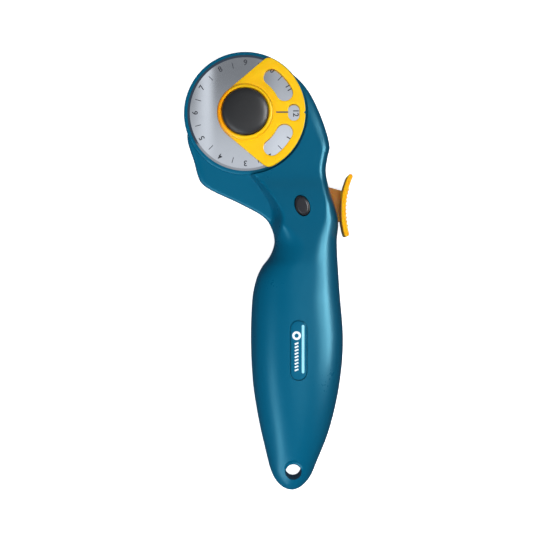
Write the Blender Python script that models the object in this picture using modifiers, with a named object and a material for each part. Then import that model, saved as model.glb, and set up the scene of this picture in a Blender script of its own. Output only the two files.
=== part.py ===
"""Hand-held rotary trimmer for paper, with a 45 mm blade, lying on its back.

The blade turns about the Z axis. The flat back of the head lies on z = 0, the
handle runs towards -Y and the finger trigger is on the +X side. Dimensions are
in millimetres, and MM turns them into Blender's metres where a mesh is made.
"""

import math
from bisect import bisect_right

import bmesh
import bpy
from mathutils import Matrix, Vector

MM = 0.001
OBJECT_NAME = "rotary_paper_trimmer"

# Clearances
GAP = 0.3
RUNNING_FIT = 0.1
WALL = 2.0

# Casing: the two shells meet on either side of the parting plane
PARTING_Z = 9.5
FRONT_BASE_Z = PARTING_Z + GAP / 2
REAR_BASE_Z = PARTING_Z - GAP / 2
TIP_Y = -147.0
LOFT_TOP_Y = 18.0
HEAD_RADIUS = 24.0
DECK_Z = 12.0
DECK_THICKNESS = 2.0
RIM_ROUND = 0.8
POCKET_RADIUS = HEAD_RADIUS + GAP
CHEEK_RISE = 1.5
CHEEK_ROLL = 3.0
SECTION_POWER = 2.1
CREASE_START = 0.3
CREASE_END = 0.5

# Blade, its axle and its cover
BLADE_RADIUS = 22.5
BLADE_THICKNESS = 0.3
BLADE_EDGE_WIDTH = 0.9
BLADE_BORE_RADIUS = 4.05
BLADE_Z = DECK_Z + 0.35
AXLE_RADIUS = 2.5
AXLE_FLAT = 2.0
AXLE_HEAD_RADIUS = 4.5
AXLE_HEAD_Z = 2.9
AXLE_HEAD_HEIGHT = 1.5
AXLE_TIP_Z = 17.9
HUB_RADIUS = 7.0
HUB_BOTTOM_Z = AXLE_HEAD_Z + AXLE_HEAD_HEIGHT + GAP
COVER_Z = 13.0
COVER_THICKNESS = 1.7
COVER_RADIUS = 23.3
COVER_HUB_RADIUS = 11.0
COVER_CORNER_RADIUS = 3.0
COVER_SIDE_SLOPE = math.radians(40.0)
COLLAR_INNER_RADIUS = 9.3
COLLAR_TOP_Z = 17.0
KNOB_RADIUS = 9.0
KNOB_BOTTOM_Z = 15.1
KNOB_TOP_Z = 19.5
INSERT_RADIUS = 4.0
INSERT_Z = 15.9
INSERT_HEIGHT = 2.2
WASHER_RADIUS = 6.0
WASHER_THICKNESS = 0.35

# Carrier that slides the blade out, towards -X
BLADE_TRAVEL = 5.0
CARRIER_Z = 6.2
CARRIER_THICKNESS = 2.0
CARRIER_TOP_Z = CARRIER_Z + CARRIER_THICKNESS

# Guide posts and case screws: (x, y)
HEAD_POST = (-2.5, 14.0)
NECK_POST = (13.0, -25.0)
HANDLE_BOSS = (20.0, -66.0)
TAIL_BOSS = (19.0, -122.0)
POST_RADIUS = 3.0
PAD_RADIUS = 3.6
SCREW_RADIUS = 1.2
SCREW_HEAD_RADIUS = 2.2
SCREW_HEAD_HEIGHT = 1.6
SCREW_SEAT_DEPTH = 2.4
SCREW_PAD_HEIGHT = 1.2

# Trigger: a lever plate with a finger paddle, turning about a pin along Z
TRIGGER_PIVOT = (31.0, -42.0)
TRIGGER_HUB_RADIUS = 3.0
TRIGGER_PIN_RADIUS = 1.25
PIN_BOSS_RADIUS = 2.6
TRIGGER_Z = 8.6
TRIGGER_THICKNESS = 3.0
DRIVE_PIN = (25.0, -23.5)
DRIVE_PIN_RADIUS = 1.5
DRIVE_SLOT_LENGTH = 2.4
PADDLE_CENTRE = (70.4, -38.0)
PADDLE_RADIUS = 32.6
PADDLE_THICKNESS = 1.9
PADDLE_Z = 4.0
PADDLE_WIDTH = 13.0
PADDLE_TOP_Y = -24.6
PADDLE_BOTTOM_Y = -47.6
RIB_PITCH = 1.6
RIB_HEIGHT = 0.35
RIB_COUNT = 10

# Lock button: slides along -Z, its collar drops into the carrier's lock holes
LOCK = (21.9, -36.4)
LOCK_TILT = math.radians(20.0)
LOCK_LONG = 4.0
LOCK_SHORT = 2.7
LOCK_TOP_Z = 19.0
LOCK_COLLAR_RADIUS = 2.6
LOCK_HOLE_RADIUS = 2.8
LOCK_NECK_RADIUS = 1.4
LOCK_SLOT_HALF_WIDTH = 1.6
LOCK_SHAFT_RADIUS = 2.2
LOCK_RING_Z = 13.0

# Return spring between the carrier and a rib of the rear shell, along X
SPRING_Y = -6.0
SPRING_Z = CARRIER_Z + CARRIER_THICKNESS / 2
SPRING_LEFT_X = -19.0
SPRING_RIGHT_X = -10.4
SPRING_RADIUS = 1.6
SPRING_WIRE_RADIUS = 0.23
SPRING_TURNS = 5

# Badge and hang hole
BADGE = (20.4, -91.5)
BADGE_HALF_WIDTH = 3.3
BADGE_HALF_LENGTH = 11.5
BADGE_Z = 22.0
BADGE_THICKNESS = 0.6
HANG_HOLE = (18.6, -139.0)
HANG_HOLE_RADIUS = 3.0
HANG_RIM_RADIUS = 4.0

# Finishes: base colour, roughness, metallic
FINISHES = {
    "casing": ((0.003, 0.089, 0.181, 1.0), 0.35, 0.0),
    "yellow": ((0.956, 0.546, 0.010, 1.0), 0.35, 0.0),
    "black": ((0.034, 0.034, 0.035, 1.0), 0.5, 0.0),
    "rubber": ((0.02, 0.02, 0.02, 1.0), 0.8, 0.0),
    "steel": ((0.55, 0.56, 0.58, 1.0), 0.25, 1.0),
    "brass": ((0.72, 0.52, 0.22, 1.0), 0.3, 1.0),
    "grey": ((0.35, 0.36, 0.38, 1.0), 0.45, 0.0),
    "badge": ((0.01, 0.13, 0.24, 1.0), 0.3, 0.0),
}


# ---------------------------------------------------------------- outlines


def arc(centre, radius, start, end, count=12):
    """Points along an arc, with its angles in degrees."""
    steps = [math.radians(start + (end - start) * i / count) for i in range(count + 1)]
    return [(centre[0] + radius * math.cos(a), centre[1] + radius * math.sin(a)) for a in steps]


def circle(centre, radius, count=32):
    """Points round a circle, the first one not repeated."""
    return arc(centre, radius, 0, 360, count)[:-1]


def obround(first, last, radius, count=10):
    """Outline of a slot between two points, with round ends."""
    heading = math.degrees(math.atan2(last[1] - first[1], last[0] - first[0]))
    return (arc(last, radius, heading - 90, heading + 90, count)
            + arc(first, radius, heading + 90, heading + 270, count))


def ellipse(centre, long_half, short_half, tilt, count=32):
    """Points round an ellipse whose long axis leans from +Y towards -X by tilt."""
    points = []
    for along, across in circle((0, 0), 1, count):
        u, v = along * long_half, across * short_half
        points.append((centre[0] - u * math.sin(tilt) + v * math.cos(tilt),
                       centre[1] + u * math.cos(tilt) + v * math.sin(tilt)))
    return points


def smooth_along(points):
    """Return a smooth function of y through (y, value) points, tail to head.

    It is worked out over the square root of the distance from the tail's
    tip, so that an outline closes round there.
    """
    marks = [math.sqrt(y - TIP_Y) for y, _ in points]
    values = [value for _, value in points]
    last = len(points) - 1
    slopes = []
    for i in range(last + 1):
        low, high = max(i - 1, 0), min(i + 1, last)
        slopes.append((values[high] - values[low]) / (marks[high] - marks[low]))

    def value_at(y):
        mark = min(max(math.sqrt(max(y - TIP_Y, 0.0)), marks[0]), marks[-1])
        i = min(max(bisect_right(marks, mark) - 1, 0), last - 1)
        span = marks[i + 1] - marks[i]
        t = (mark - marks[i]) / span
        return (values[i] * (1 + 2 * t) * (1 - t) ** 2 + values[i + 1] * t * t * (3 - 2 * t)
                + slopes[i] * span * t * (1 - t) ** 2 - slopes[i + 1] * span * t * t * (1 - t))

    return value_at


right_edge = smooth_along([
    (TIP_Y, 18.0), (-142, 25.1), (-135, 28.2), (-122, 33.1), (-105, 36.8), (-88, 38.1),
    (-67, 36.6), (-50, 35.7), (-42, 36.25), (-36.5, 35.0), (-29, 32.6), (-22.5, 31.4),
    (-17, 32.1), (-13.3, 32.9), (-8, 31.9), (0, 29.1), (8, 25.2), (13, 21.3), (LOFT_TOP_Y, 15.5)])
left_edge = smooth_along([
    (TIP_Y, 18.0), (-142, 11.1), (-130, 7.5), (-116, 4.5), (-104, 2.8), (-87, 2.1), (-72, 2.7),
    (-65, 4.1), (-60, 6.3), (-55.5, 9.6), (-50, 11.3), (-44, 9.8), (-40, 6.6), (-35, -2.5),
    (-30, -13.2), (-27.5, -16.9), (-25, -18.4), (-20, -19.8), (-6.6, -22.6), (6, -14.0),
    (LOFT_TOP_Y, 8.0)])
front_crown = smooth_along([
    (TIP_Y, 0.0), (-143, 5.2), (-139, 7.4), (-130, 9.8), (-112, 12.4), (-92, 13.3), (-60, 12.6),
    (-50, 11.0), (-42, 9.6), (-36, 8.7), (-30, 7.6), (-25, 6.4), (-14, 5.3), (0, 4.2), (10, 3.1),
    (LOFT_TOP_Y, 1.8)])
rear_crown = smooth_along([
    (TIP_Y, 0.0), (-143, 3.8), (-139, 5.4), (-130, 7.2), (-115, 9.0), (-100, 9.7), (-78, 9.7),
    (-62, 8.9), (-50, 7.2), (-42, 6.35), (-36, 6.35), (-28, 7.4), (-18, 8.85), (LOFT_TOP_Y, 8.85)])
front_right_roll = smooth_along([
    (TIP_Y, 18), (-75, 18), (-60, 13), (-48, 9), (-40, 6), (-34, 4), (-16, 3.5), (-6, 6),
    (LOFT_TOP_Y, 7)])
front_left_roll = smooth_along([
    (TIP_Y, 18), (-75, 18), (-62, 14), (-52, 12), (-46, 8), (-42, 4.6), (-30, 4), (LOFT_TOP_Y, 4)])
rear_roll = smooth_along([
    (TIP_Y, 18), (-75, 18), (-60, 12), (-48, 7), (-40, 4.5), (LOFT_TOP_Y, 4.5)])
crease_foot = smooth_along([
    (-60, -2), (-50, 5.5), (-46, 8), (-42, 9.6), (-38, 9.8), (-34, 8.3), (-29, 5.2), (-25, 2),
    (-20, -2), (LOFT_TOP_Y, -6)])
crease_width = smooth_along([(-60, 7), (-42, 5.5), (-34, 3.5), (-25, 2.5), (LOFT_TOP_Y, 2.5)])
spread = smooth_along([
    (TIP_Y, 0.33), (-62, 0.33), (-54, 0.22), (-47, 0.1), (-42, 0.04), (-30, 0.02), (LOFT_TOP_Y, 0.02)])


# ------------------------------------------------------------- body surface


def edge_rise(distance, roll):
    """Height fraction at a distance in from an edge that rolls over by roll."""
    reach = min(max(distance / roll, 0.0), 1.0)
    return (1.0 - (1.0 - reach) ** SECTION_POWER) ** (1.0 / SECTION_POWER)


def smoothstep(t):
    """Ease from 0 to 1 while t goes from 0 to 1."""
    t = min(max(t, 0.0), 1.0)
    return t * t * (3.0 - 2.0 * t)


def edges_at(y, inset):
    """Left and right edge at y, moved in by inset square to the outline."""
    step = 0.2
    left_slope = (left_edge(y + step) - left_edge(y - step)) / (2 * step)
    right_slope = (right_edge(y + step) - right_edge(y - step)) / (2 * step)
    left = left_edge(y) + inset * math.hypot(1, left_slope)
    return left, right_edge(y) - inset * math.hypot(1, right_slope)


def front_rise(x, y, inset=0.0):
    """Height of the front surface above the front shell's parting face."""
    left, right = edges_at(y, inset)
    half = (right - left) / 2
    left_roll = min(max(front_left_roll(y) - inset, 1.5), half)
    right_roll = min(max(front_right_roll(y) - inset, 1.5), half)
    right_rise = edge_rise(right - x, right_roll)
    handle = (front_crown(y) - inset) * edge_rise(x - left, left_roll) * right_rise
    cheek = (CHEEK_RISE - inset) * edge_rise(x - left, CHEEK_ROLL) * right_rise
    foot = crease_foot(y) + 0.8 * inset
    return cheek + (handle - cheek) * smoothstep((x - foot) / crease_width(y))


def rear_rise(x, y, inset=0.0):
    """Depth of the rear surface below the rear shell's parting face."""
    left, right = edges_at(y, inset)
    half = (right - left) / 2
    roll = min(max(rear_roll(y) - inset, 1.5), half)
    rise = (rear_crown(y) - inset) * edge_rise(x - left, roll) * edge_rise(right - x, roll)
    return min(rise, REAR_BASE_Z - inset)


def across(y, left, right, count):
    """Rising x positions across a section, some of them along the crease."""
    width = right - left
    foot = min(max(crease_foot(y), left + spread(y) * width), right - 0.6 * width)
    head = max(min(foot + crease_width(y), right - 0.5 * width), foot + 0.5 * spread(y) * width)
    marks = []
    for i in range(count + 1):
        t = i / count
        if t < CREASE_START:
            marks.append(left + (foot - left) * (1 - math.cos(math.pi / 2 * t / CREASE_START)))
        elif t <= CREASE_END:
            marks.append(foot + (head - foot) * (t - CREASE_START) / (CREASE_END - CREASE_START))
        else:
            rest = (t - CREASE_END) / (1 - CREASE_END)
            marks.append(head + (right - head) * math.sin(math.pi / 2 * rest))
    return marks


def stations(bottom, *runs):
    """Rising y positions from bottom through runs of (end, count)."""
    marks = [bottom]
    for end, count in runs:
        start = marks[-1]
        marks += [start + (end - start) * (i + 1) / count for i in range(count)]
    return marks


def tail_stations(count, top):
    """Rising y positions from just above the tip, closer together there."""
    reach = math.sqrt(top - TIP_Y)
    return [TIP_Y + (reach * (i + 0.35) / (count + 0.35)) ** 2 for i in range(count)] + [top]


# --------------------------------------------------------------- mesh tools


def collection(name):
    """Make a collection in the scene."""
    made = bpy.data.collections.new(name)
    bpy.context.scene.collection.children.link(made)
    return made


def material(name):
    """Make or reuse the Principled material of a finish."""
    if name in bpy.data.materials:
        return bpy.data.materials[name]
    colour, roughness, metallic = FINISHES[name]
    made = bpy.data.materials.new(name)
    made.use_nodes = True
    shader = made.node_tree.nodes["Principled BSDF"]
    shader.inputs["Base Color"].default_value = colour
    shader.inputs["Roughness"].default_value = roughness
    shader.inputs["Metallic"].default_value = metallic
    made.diffuse_color = colour
    return made


def place(name, mesh, finish=None, at=(0.0, 0.0, 0.0)):
    """Link a mesh as a part with a finish, or as a hidden cutter without one."""
    thing = bpy.data.objects.new(name, mesh)
    thing.location = Vector(at) * MM
    if finish:
        bpy.data.collections[OBJECT_NAME].objects.link(thing)
        mesh.materials.append(material(finish))
    else:
        bpy.data.collections["cutters"].objects.link(thing)
        thing.hide_render = True
        thing.display_type = "WIRE"
    return thing


def smooth(thing, angle=35.0):
    """Shade smooth, with edges sharper than an angle kept crisp."""
    thing.data.shade_smooth()
    thing.data.set_sharp_from_angle(angle=math.radians(angle))
    return thing


def cylinder(name, radius, low, high, finish=None, at=(0.0, 0.0), top_radius=None, count=32):
    """Cylinder or cone frustum along Z, with its origin on its axis."""
    form = bmesh.new()
    bmesh.ops.create_cone(form, cap_ends=True, segments=count, radius1=radius * MM,
                          radius2=(radius if top_radius is None else top_radius) * MM,
                          depth=(high - low) * MM,
                          matrix=Matrix.Translation((0, 0, (low + high) / 2 * MM)))
    mesh = bpy.data.meshes.new(name)
    form.to_mesh(mesh)
    form.free()
    return smooth(place(name, mesh, finish, (at[0], at[1], 0.0)))


def box(name, low, high, finish=None):
    """Box between two corners."""
    size = Vector(high) - Vector(low)
    form = bmesh.new()
    bmesh.ops.create_cube(form, size=1.0, matrix=Matrix.Diagonal((*(size * MM), 1.0)))
    mesh = bpy.data.meshes.new(name)
    form.to_mesh(mesh)
    form.free()
    return place(name, mesh, finish, (Vector(low) + Vector(high)) / 2)


def turned(name, profile, finish=None, at=(0.0, 0.0), count=48, closed=False):
    """Turn an (r, z) profile about Z. It runs down its outer side."""
    verts = [(r * MM, 0.0, z * MM) for r, z in profile]
    edges = [(i, i + 1) for i in range(len(verts) - 1)]
    if closed:
        edges.append((len(verts) - 1, 0))
    mesh = bpy.data.meshes.new(name)
    mesh.from_pydata(verts, edges, [])
    thing = place(name, mesh, finish, (at[0], at[1], 0.0))
    screw = thing.modifiers.new("turn", "SCREW")
    screw.steps = screw.render_steps = count
    screw.use_merge_vertices = True
    screw.merge_threshold = 1e-6
    return thing


def prism(name, outline, low, high, holes=(), finish=None):
    """Plate of a flat outline with holes, between two heights."""
    curve = bpy.data.curves.new(name, "CURVE")
    curve.dimensions = "2D"
    curve.fill_mode = "BOTH"
    curve.extrude = (high - low) / 2 * MM
    for loop in [outline, *holes]:
        spline = curve.splines.new("POLY")
        spline.points.add(len(loop) - 1)
        spline.use_cyclic_u = True
        for point, (x, y) in zip(spline.points, loop):
            point.co = (x * MM, y * MM, 0.0, 1.0)
    flat = bpy.data.objects.new(name + "_outline", curve)
    bpy.context.scene.collection.objects.link(flat)
    graph = bpy.context.evaluated_depsgraph_get()
    mesh = bpy.data.meshes.new_from_object(flat.evaluated_get(graph))
    bpy.data.objects.remove(flat)
    form = bmesh.new()
    form.from_mesh(mesh)
    bmesh.ops.remove_doubles(form, verts=form.verts, dist=1e-6)
    bmesh.ops.dissolve_limit(form, angle_limit=1e-4, verts=form.verts, edges=form.edges)
    bmesh.ops.recalc_face_normals(form, faces=form.faces)
    form.to_mesh(mesh)
    form.free()
    return smooth(place(name, mesh, finish, (0.0, 0.0, (low + high) / 2)))


def boolean(thing, tool, operation):
    """Cut or join a hidden tool into a part."""
    change = thing.modifiers.new(tool.name, "BOOLEAN")
    change.operation = operation
    change.object = tool
    return thing


def cut(thing, *tools):
    """Take the tools away from a part."""
    for tool in tools:
        boolean(thing, tool, "DIFFERENCE")
    return thing


def join(thing, *tools):
    """Add the tools to a part."""
    for tool in tools:
        boolean(thing, tool, "UNION")
    return thing


def half_body(name, side, marks, count, inset=0.0, skirt=0.0, finish=None):
    """Loft one half of the body through sections across the handle.

    side is +1 for the front half and -1 for the rear one. A skirt carries a
    hollow past the parting face, so that it cuts the shell open there.
    """
    rise, base = (front_rise, FRONT_BASE_Z) if side > 0 else (rear_rise, REAR_BASE_Z)
    sections = []
    for y in marks:
        left, right = edges_at(y, inset)
        section = [(x, y, base + side * rise(x, y, inset)) for x in across(y, left, right, count)]
        if skirt:
            section.append((right, y, base - side * skirt))
            section.append((left, y, base - side * skirt))
        sections.append([(x * MM, y * MM, z * MM) for x, y, z in section])
    ring = len(sections[0])
    faces = [list(range(ring)), [ring * (len(sections) - 1) + i for i in range(ring)][::-1]]
    for j in range(len(sections) - 1):
        for i in range(ring):
            n = (i + 1) % ring
            faces.append([j * ring + n, j * ring + i, (j + 1) * ring + i, (j + 1) * ring + n])
    mesh = bpy.data.meshes.new(name)
    mesh.from_pydata([point for section in sections for point in section], [], faces)
    form = bmesh.new()
    form.from_mesh(mesh)
    bmesh.ops.recalc_face_normals(form, faces=form.faces)
    form.to_mesh(mesh)
    form.free()
    return smooth(place(name, mesh, finish))


# ------------------------------------------------------------------- casing


FRONT_MARKS = (tail_stations(6, -132.0)
               + stations(-132.0, (-66.0, 8), (-46.0, 7), (-24.0, 14), (LOFT_TOP_Y, 10))[1:])
REAR_MARKS = (tail_stations(5, -132.0)
              + stations(-132.0, (-66.0, 7), (-46.0, 5), (-24.0, 10), (LOFT_TOP_Y, 8))[1:])
HOLLOW_MARKS = stations(-131.0, (-66.0, 5), (-46.0, 4), (-24.0, 8), (LOFT_TOP_Y - 3, 4))


def rear_z(x, y):
    """Height of the casing's rear face at a point."""
    return 0.0 if math.hypot(x, y) < HEAD_RADIUS - 1 else REAR_BASE_Z - rear_rise(x, y)


def make_front_shell():
    """Front half of the casing: deck, neck face, handle front, posts."""
    shell = half_body("front_shell", 1, FRONT_MARKS, 20, finish="casing")
    cut(shell, cylinder("blade_pocket", POCKET_RADIUS, DECK_Z - 0.5, 40.0, count=60))
    join(shell, turned("head_front", [
        (0.0, DECK_Z), (HEAD_RADIUS - RIM_ROUND, DECK_Z),
        (HEAD_RADIUS - 0.3 * RIM_ROUND, DECK_Z - 0.3 * RIM_ROUND),
        (HEAD_RADIUS, DECK_Z - RIM_ROUND), (HEAD_RADIUS, FRONT_BASE_Z), (0.0, FRONT_BASE_Z)],
        count=60))
    hollow = half_body("front_hollow", 1, HOLLOW_MARKS, 10, WALL, skirt=1.5)
    under_deck = DECK_Z - DECK_THICKNESS
    cut(hollow, cylinder("pocket_wall", POCKET_RADIUS + WALL, under_deck, 40.0, count=48))
    cut(shell, hollow,
        cylinder("head_front_hollow", HEAD_RADIUS - WALL, FRONT_BASE_Z - 1, under_deck, count=48),
        prism("hub_slot", obround((-BLADE_TRAVEL, 0.0), (0.0, 0.0), HUB_RADIUS + GAP), 9.0, 13.0),
        box("trigger_slot_front", (28.0, -43.6, 9.0), (40.0, -28.0, 12.0)))
    for name, (x, y), bottom, top in (
            ("head_post", HEAD_POST, post_bottom(HEAD_POST), under_deck + 0.5),
            ("neck_post", NECK_POST, post_bottom(NECK_POST), front_z(*NECK_POST) - 1.0),
            ("handle_boss", HANDLE_BOSS, FRONT_BASE_Z + 0.1, front_z(*HANDLE_BOSS) - 1.0),
            ("tail_boss", TAIL_BOSS, FRONT_BASE_Z + 0.1, front_z(*TAIL_BOSS) - 1.0)):
        join(shell, cylinder(name, POST_RADIUS, bottom, top, at=(x, y), count=24))
        tip = screw_tip((x, y)) + 0.5
        cut(shell, cylinder(name + "_hole", SCREW_RADIUS + RUNNING_FIT, bottom - 1, tip,
                            at=(x, y), count=16))
    join(shell,
         cylinder("trigger_boss_front", PIN_BOSS_RADIUS, TRIGGER_Z + TRIGGER_THICKNESS + GAP,
                  front_z(TRIGGER_PIVOT[0] + PIN_BOSS_RADIUS, TRIGGER_PIVOT[1]) - 0.8,
                  at=TRIGGER_PIVOT, count=24),
         prism("lock_guide", ellipse(LOCK, LOCK_LONG + 1.5, LOCK_SHORT + 1.5, LOCK_TILT), 12.0, 16.4))
    cut(shell,
        cylinder("trigger_pin_hole_front", TRIGGER_PIN_RADIUS + RUNNING_FIT, 11.0, 14.2,
                 at=TRIGGER_PIVOT, count=16),
        prism("lock_window", ellipse(LOCK, LOCK_LONG + 0.25, LOCK_SHORT + 0.25, LOCK_TILT), 13.9, 26.0),
        cylinder("lock_bore", LOCK_COLLAR_RADIUS + RUNNING_FIT, 11.0, 15.0, at=LOCK, count=32),
        prism("badge_recess", badge_outline(0.0), BADGE_Z - GAP, 26.0),
        hang_cutter("hang_hole_front", front_z(*HANG_HOLE), 1))
    return shell


def make_rear_shell():
    """Rear half of the casing: flat back, handle back, pads, spring rib."""
    shell = half_body("rear_shell", -1, REAR_MARKS, 14, finish="casing")
    join(shell, turned("head_rear", [
        (0.0, REAR_BASE_Z), (HEAD_RADIUS, REAR_BASE_Z), (HEAD_RADIUS, 1.2),
        (HEAD_RADIUS - 0.4, 0.4), (HEAD_RADIUS - 1.2, 0.0), (0.0, 0.0)], count=60))
    cut(shell,
        half_body("rear_hollow", -1, HOLLOW_MARKS, 10, WALL, skirt=1.5),
        cylinder("head_rear_hollow", HEAD_RADIUS - WALL, WALL, PARTING_Z + 1, count=48),
        box("trigger_slot_rear", (28.0, -43.6, TRIGGER_Z - 0.4), (40.0, -28.0, 10.0)))
    join(shell, box("spring_rib", (-21.5, SPRING_Y - 3, 1.5), (SPRING_LEFT_X - 0.4, SPRING_Y + 3, 9.2)),
         cylinder("trigger_boss_rear", PIN_BOSS_RADIUS, 4.0, TRIGGER_Z - GAP, at=TRIGGER_PIVOT, count=24))
    for name, at, top in (
            ("head_pad", HEAD_POST, None), ("neck_pad", NECK_POST, None),
            ("handle_pad", HANDLE_BOSS, REAR_BASE_Z - 0.1), ("tail_pad", TAIL_BOSS, REAR_BASE_Z - 0.1)):
        rear = rear_z(*at)
        seat = rear + SCREW_SEAT_DEPTH
        top = top or seat + SCREW_PAD_HEIGHT
        join(shell, cylinder(name, PAD_RADIUS, rear + 1.0, top, at=at, count=24))
        cut(shell,
            cylinder(name + "_hole", SCREW_RADIUS + RUNNING_FIT, rear - 1, top + 1, at=at, count=16),
            cylinder(name + "_sink", SCREW_HEAD_RADIUS + GAP, rear - 2, seat, at=at, count=24))
    cut(shell,
        cylinder("trigger_pin_hole_rear", TRIGGER_PIN_RADIUS + RUNNING_FIT, 5.3, 9.0,
                 at=TRIGGER_PIVOT, count=16),
        cylinder("lock_hole_rear", LOCK_SHAFT_RADIUS + RUNNING_FIT, 1.0, 7.0, at=LOCK, count=32),
        hang_cutter("hang_hole_rear", rear_z(*HANG_HOLE), -1))
    return shell


def front_z(x, y):
    """Height of the casing's front face at a point."""
    return FRONT_BASE_Z + front_rise(x, y)


def post_bottom(at):
    """Lower end of a guide post, just above its pad in the rear shell."""
    return rear_z(*at) + SCREW_SEAT_DEPTH + SCREW_PAD_HEIGHT + GAP


def screw_tip(at):
    """Upper end of the screw at a boss."""
    return {HEAD_POST: 9.2, NECK_POST: 12.3}.get(at, 14.5)


def badge_outline(margin):
    """Outline of the badge, moved in by a margin."""
    reach = BADGE_HALF_LENGTH - BADGE_HALF_WIDTH
    return obround((BADGE[0], BADGE[1] - reach), (BADGE[0], BADGE[1] + reach),
                   BADGE_HALF_WIDTH - margin)


def hang_cutter(name, face_z, side):
    """Bore with a rounded mouth that opens the hang hole on one side."""
    r, rim = HANG_HOLE_RADIUS, HANG_RIM_RADIUS
    mouth = [(0.0, face_z + side * 5), (rim + 3.0, face_z + side * 5),
             (rim, face_z + side * 0.1), (r + 0.35 * (rim - r), face_z - side * 0.6),
             (r, face_z - side * 1.8), (r, PARTING_Z - side * 1), (0.0, PARTING_Z - side * 1)]
    return turned(name, mouth if side > 0 else mouth[::-1], at=HANG_HOLE, count=32)


def make_badge():
    """Thin name plate that lies in the handle's recess."""
    return prism("badge_plate", badge_outline(GAP), BADGE_Z, BADGE_Z + BADGE_THICKNESS, finish="badge")


def make_case_screw(name, at):
    """Cross-head screw that holds the shells together from the rear."""
    seat = rear_z(*at) + SCREW_SEAT_DEPTH - 0.15
    head = seat - SCREW_HEAD_HEIGHT
    tip = screw_tip(at)
    screw = turned(name, [
        (0.0, tip), (0.5, tip), (SCREW_RADIUS, tip - 1.2), (SCREW_RADIUS, seat),
        (SCREW_HEAD_RADIUS, seat), (SCREW_HEAD_RADIUS, head + 0.5),
        (SCREW_HEAD_RADIUS - 0.6, head), (0.0, head)], "steel", at, count=20)
    x, y = at
    for tag, half in (("wide", (1.3, 0.3)), ("tall", (0.3, 1.3))):
        cut(screw, box(f"{name}_{tag}", (x - half[0], y - half[1], head - 1),
                       (x + half[0], y + half[1], head + 0.9)))
    return screw


# ---------------------------------------------------------- blade and axle


def make_carrier():
    """Sliding plate with the blade's hub, guide slots and lock holes."""
    ax, ay = LOCK
    bx = ax + BLADE_TRAVEL
    px, py = NECK_POST
    hx, hy = HEAD_POST
    dx, dy = DRIVE_PIN
    outline = (
        [(-10.0, 9.0), (-10.0, -9.0), (-8.0, -11.0), (0.0, -13.0), (6.0, -18.0)]
        + arc((px, py), 5.2, 160, 235, 6)
        + arc((ax, ay), 3.9, 180, 270, 6)
        + arc((bx, ay), 3.9, 270, 400, 8)
        + [(dx + 3.2, dy - 5.0), (dx + 3.2, dy + 2.6), (dx + 1.6, dy + 4.2), (20.0, -16.0)]
        + [(11.0, -8.0), (10.0, 8.0)]
        + arc((hx + BLADE_TRAVEL, hy), 5.2, 0, 90, 6)
        + arc((hx, hy), 5.2, 90, 180, 6))
    neck_angle = math.degrees(math.asin(LOCK_SLOT_HALF_WIDTH / LOCK_HOLE_RADIUS))
    lock_slot = (arc((ax, ay), LOCK_HOLE_RADIUS, neck_angle, 360 - neck_angle, 16)
                 + arc((bx, ay), LOCK_HOLE_RADIUS, 180 + neck_angle, 540 - neck_angle, 16))
    slot_radius = POST_RADIUS + 0.2
    holes = [
        obround((hx, hy), (hx + BLADE_TRAVEL, hy), slot_radius),
        obround((px, py), (px + BLADE_TRAVEL, py), slot_radius),
        obround((dx, dy - DRIVE_SLOT_LENGTH), (dx, dy), DRIVE_PIN_RADIUS + 0.2),
        lock_slot]
    carrier = prism("blade_carrier", outline, CARRIER_Z, CARRIER_TOP_Z, holes, "grey")
    peg = cylinder("spring_peg", 1.1, 9.0, 11.8, count=16)
    peg.rotation_euler = (0.0, -math.pi / 2, 0.0)
    peg.location = (0.0, SPRING_Y * MM, SPRING_Z * MM)
    join(carrier, cylinder("hub", HUB_RADIUS, HUB_BOTTOM_Z, DECK_Z + 0.05, count=32), peg)
    return cut(carrier, cylinder("hub_bore", AXLE_RADIUS + RUNNING_FIT, 2.0, 14.0, count=32))


def double_flat(radius, flat):
    """Outline of a round shaft with a flat above and one below."""
    edge = math.degrees(math.asin(flat / radius))
    return arc((0, 0), radius, -edge, edge, 8) + arc((0, 0), radius, 180 - edge, 180 + edge, 8)


def make_axle_bolt():
    """Bolt through the hub, with flats above the blade that key the cover."""
    top = AXLE_HEAD_Z + AXLE_HEAD_HEIGHT
    bolt = turned("axle_bolt", [
        (0.0, COVER_Z - 0.2), (AXLE_RADIUS, COVER_Z - 0.2), (AXLE_RADIUS, top),
        (AXLE_HEAD_RADIUS, top), (AXLE_HEAD_RADIUS, AXLE_HEAD_Z + 0.3),
        (AXLE_HEAD_RADIUS - 0.3, AXLE_HEAD_Z), (0.0, AXLE_HEAD_Z)], "steel", count=32)
    return join(bolt, prism("axle_thread", double_flat(AXLE_RADIUS, AXLE_FLAT), 12.0, AXLE_TIP_Z))


def make_blade_bush():
    """Plain ring that the blade turns on."""
    low, high = DECK_Z + GAP + 0.05, COVER_Z - 0.25
    inner, outer = AXLE_RADIUS + RUNNING_FIT, BLADE_BORE_RADIUS - RUNNING_FIT
    return turned("blade_bush", [(outer, high), (outer, low), (inner, low), (inner, high)],
                  "brass", count=24, closed=True)


def make_blade():
    """Round blade with an edge ground on both faces."""
    low, high = BLADE_Z, BLADE_Z + BLADE_THICKNESS
    middle, shoulder = (low + high) / 2, BLADE_RADIUS - BLADE_EDGE_WIDTH
    return turned("cutter_blade", [
        (BLADE_BORE_RADIUS, high), (shoulder, high), (BLADE_RADIUS, middle + 0.02),
        (BLADE_RADIUS, middle - 0.02), (shoulder, low), (BLADE_BORE_RADIUS, low)],
        "steel", count=60, closed=True)


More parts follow.
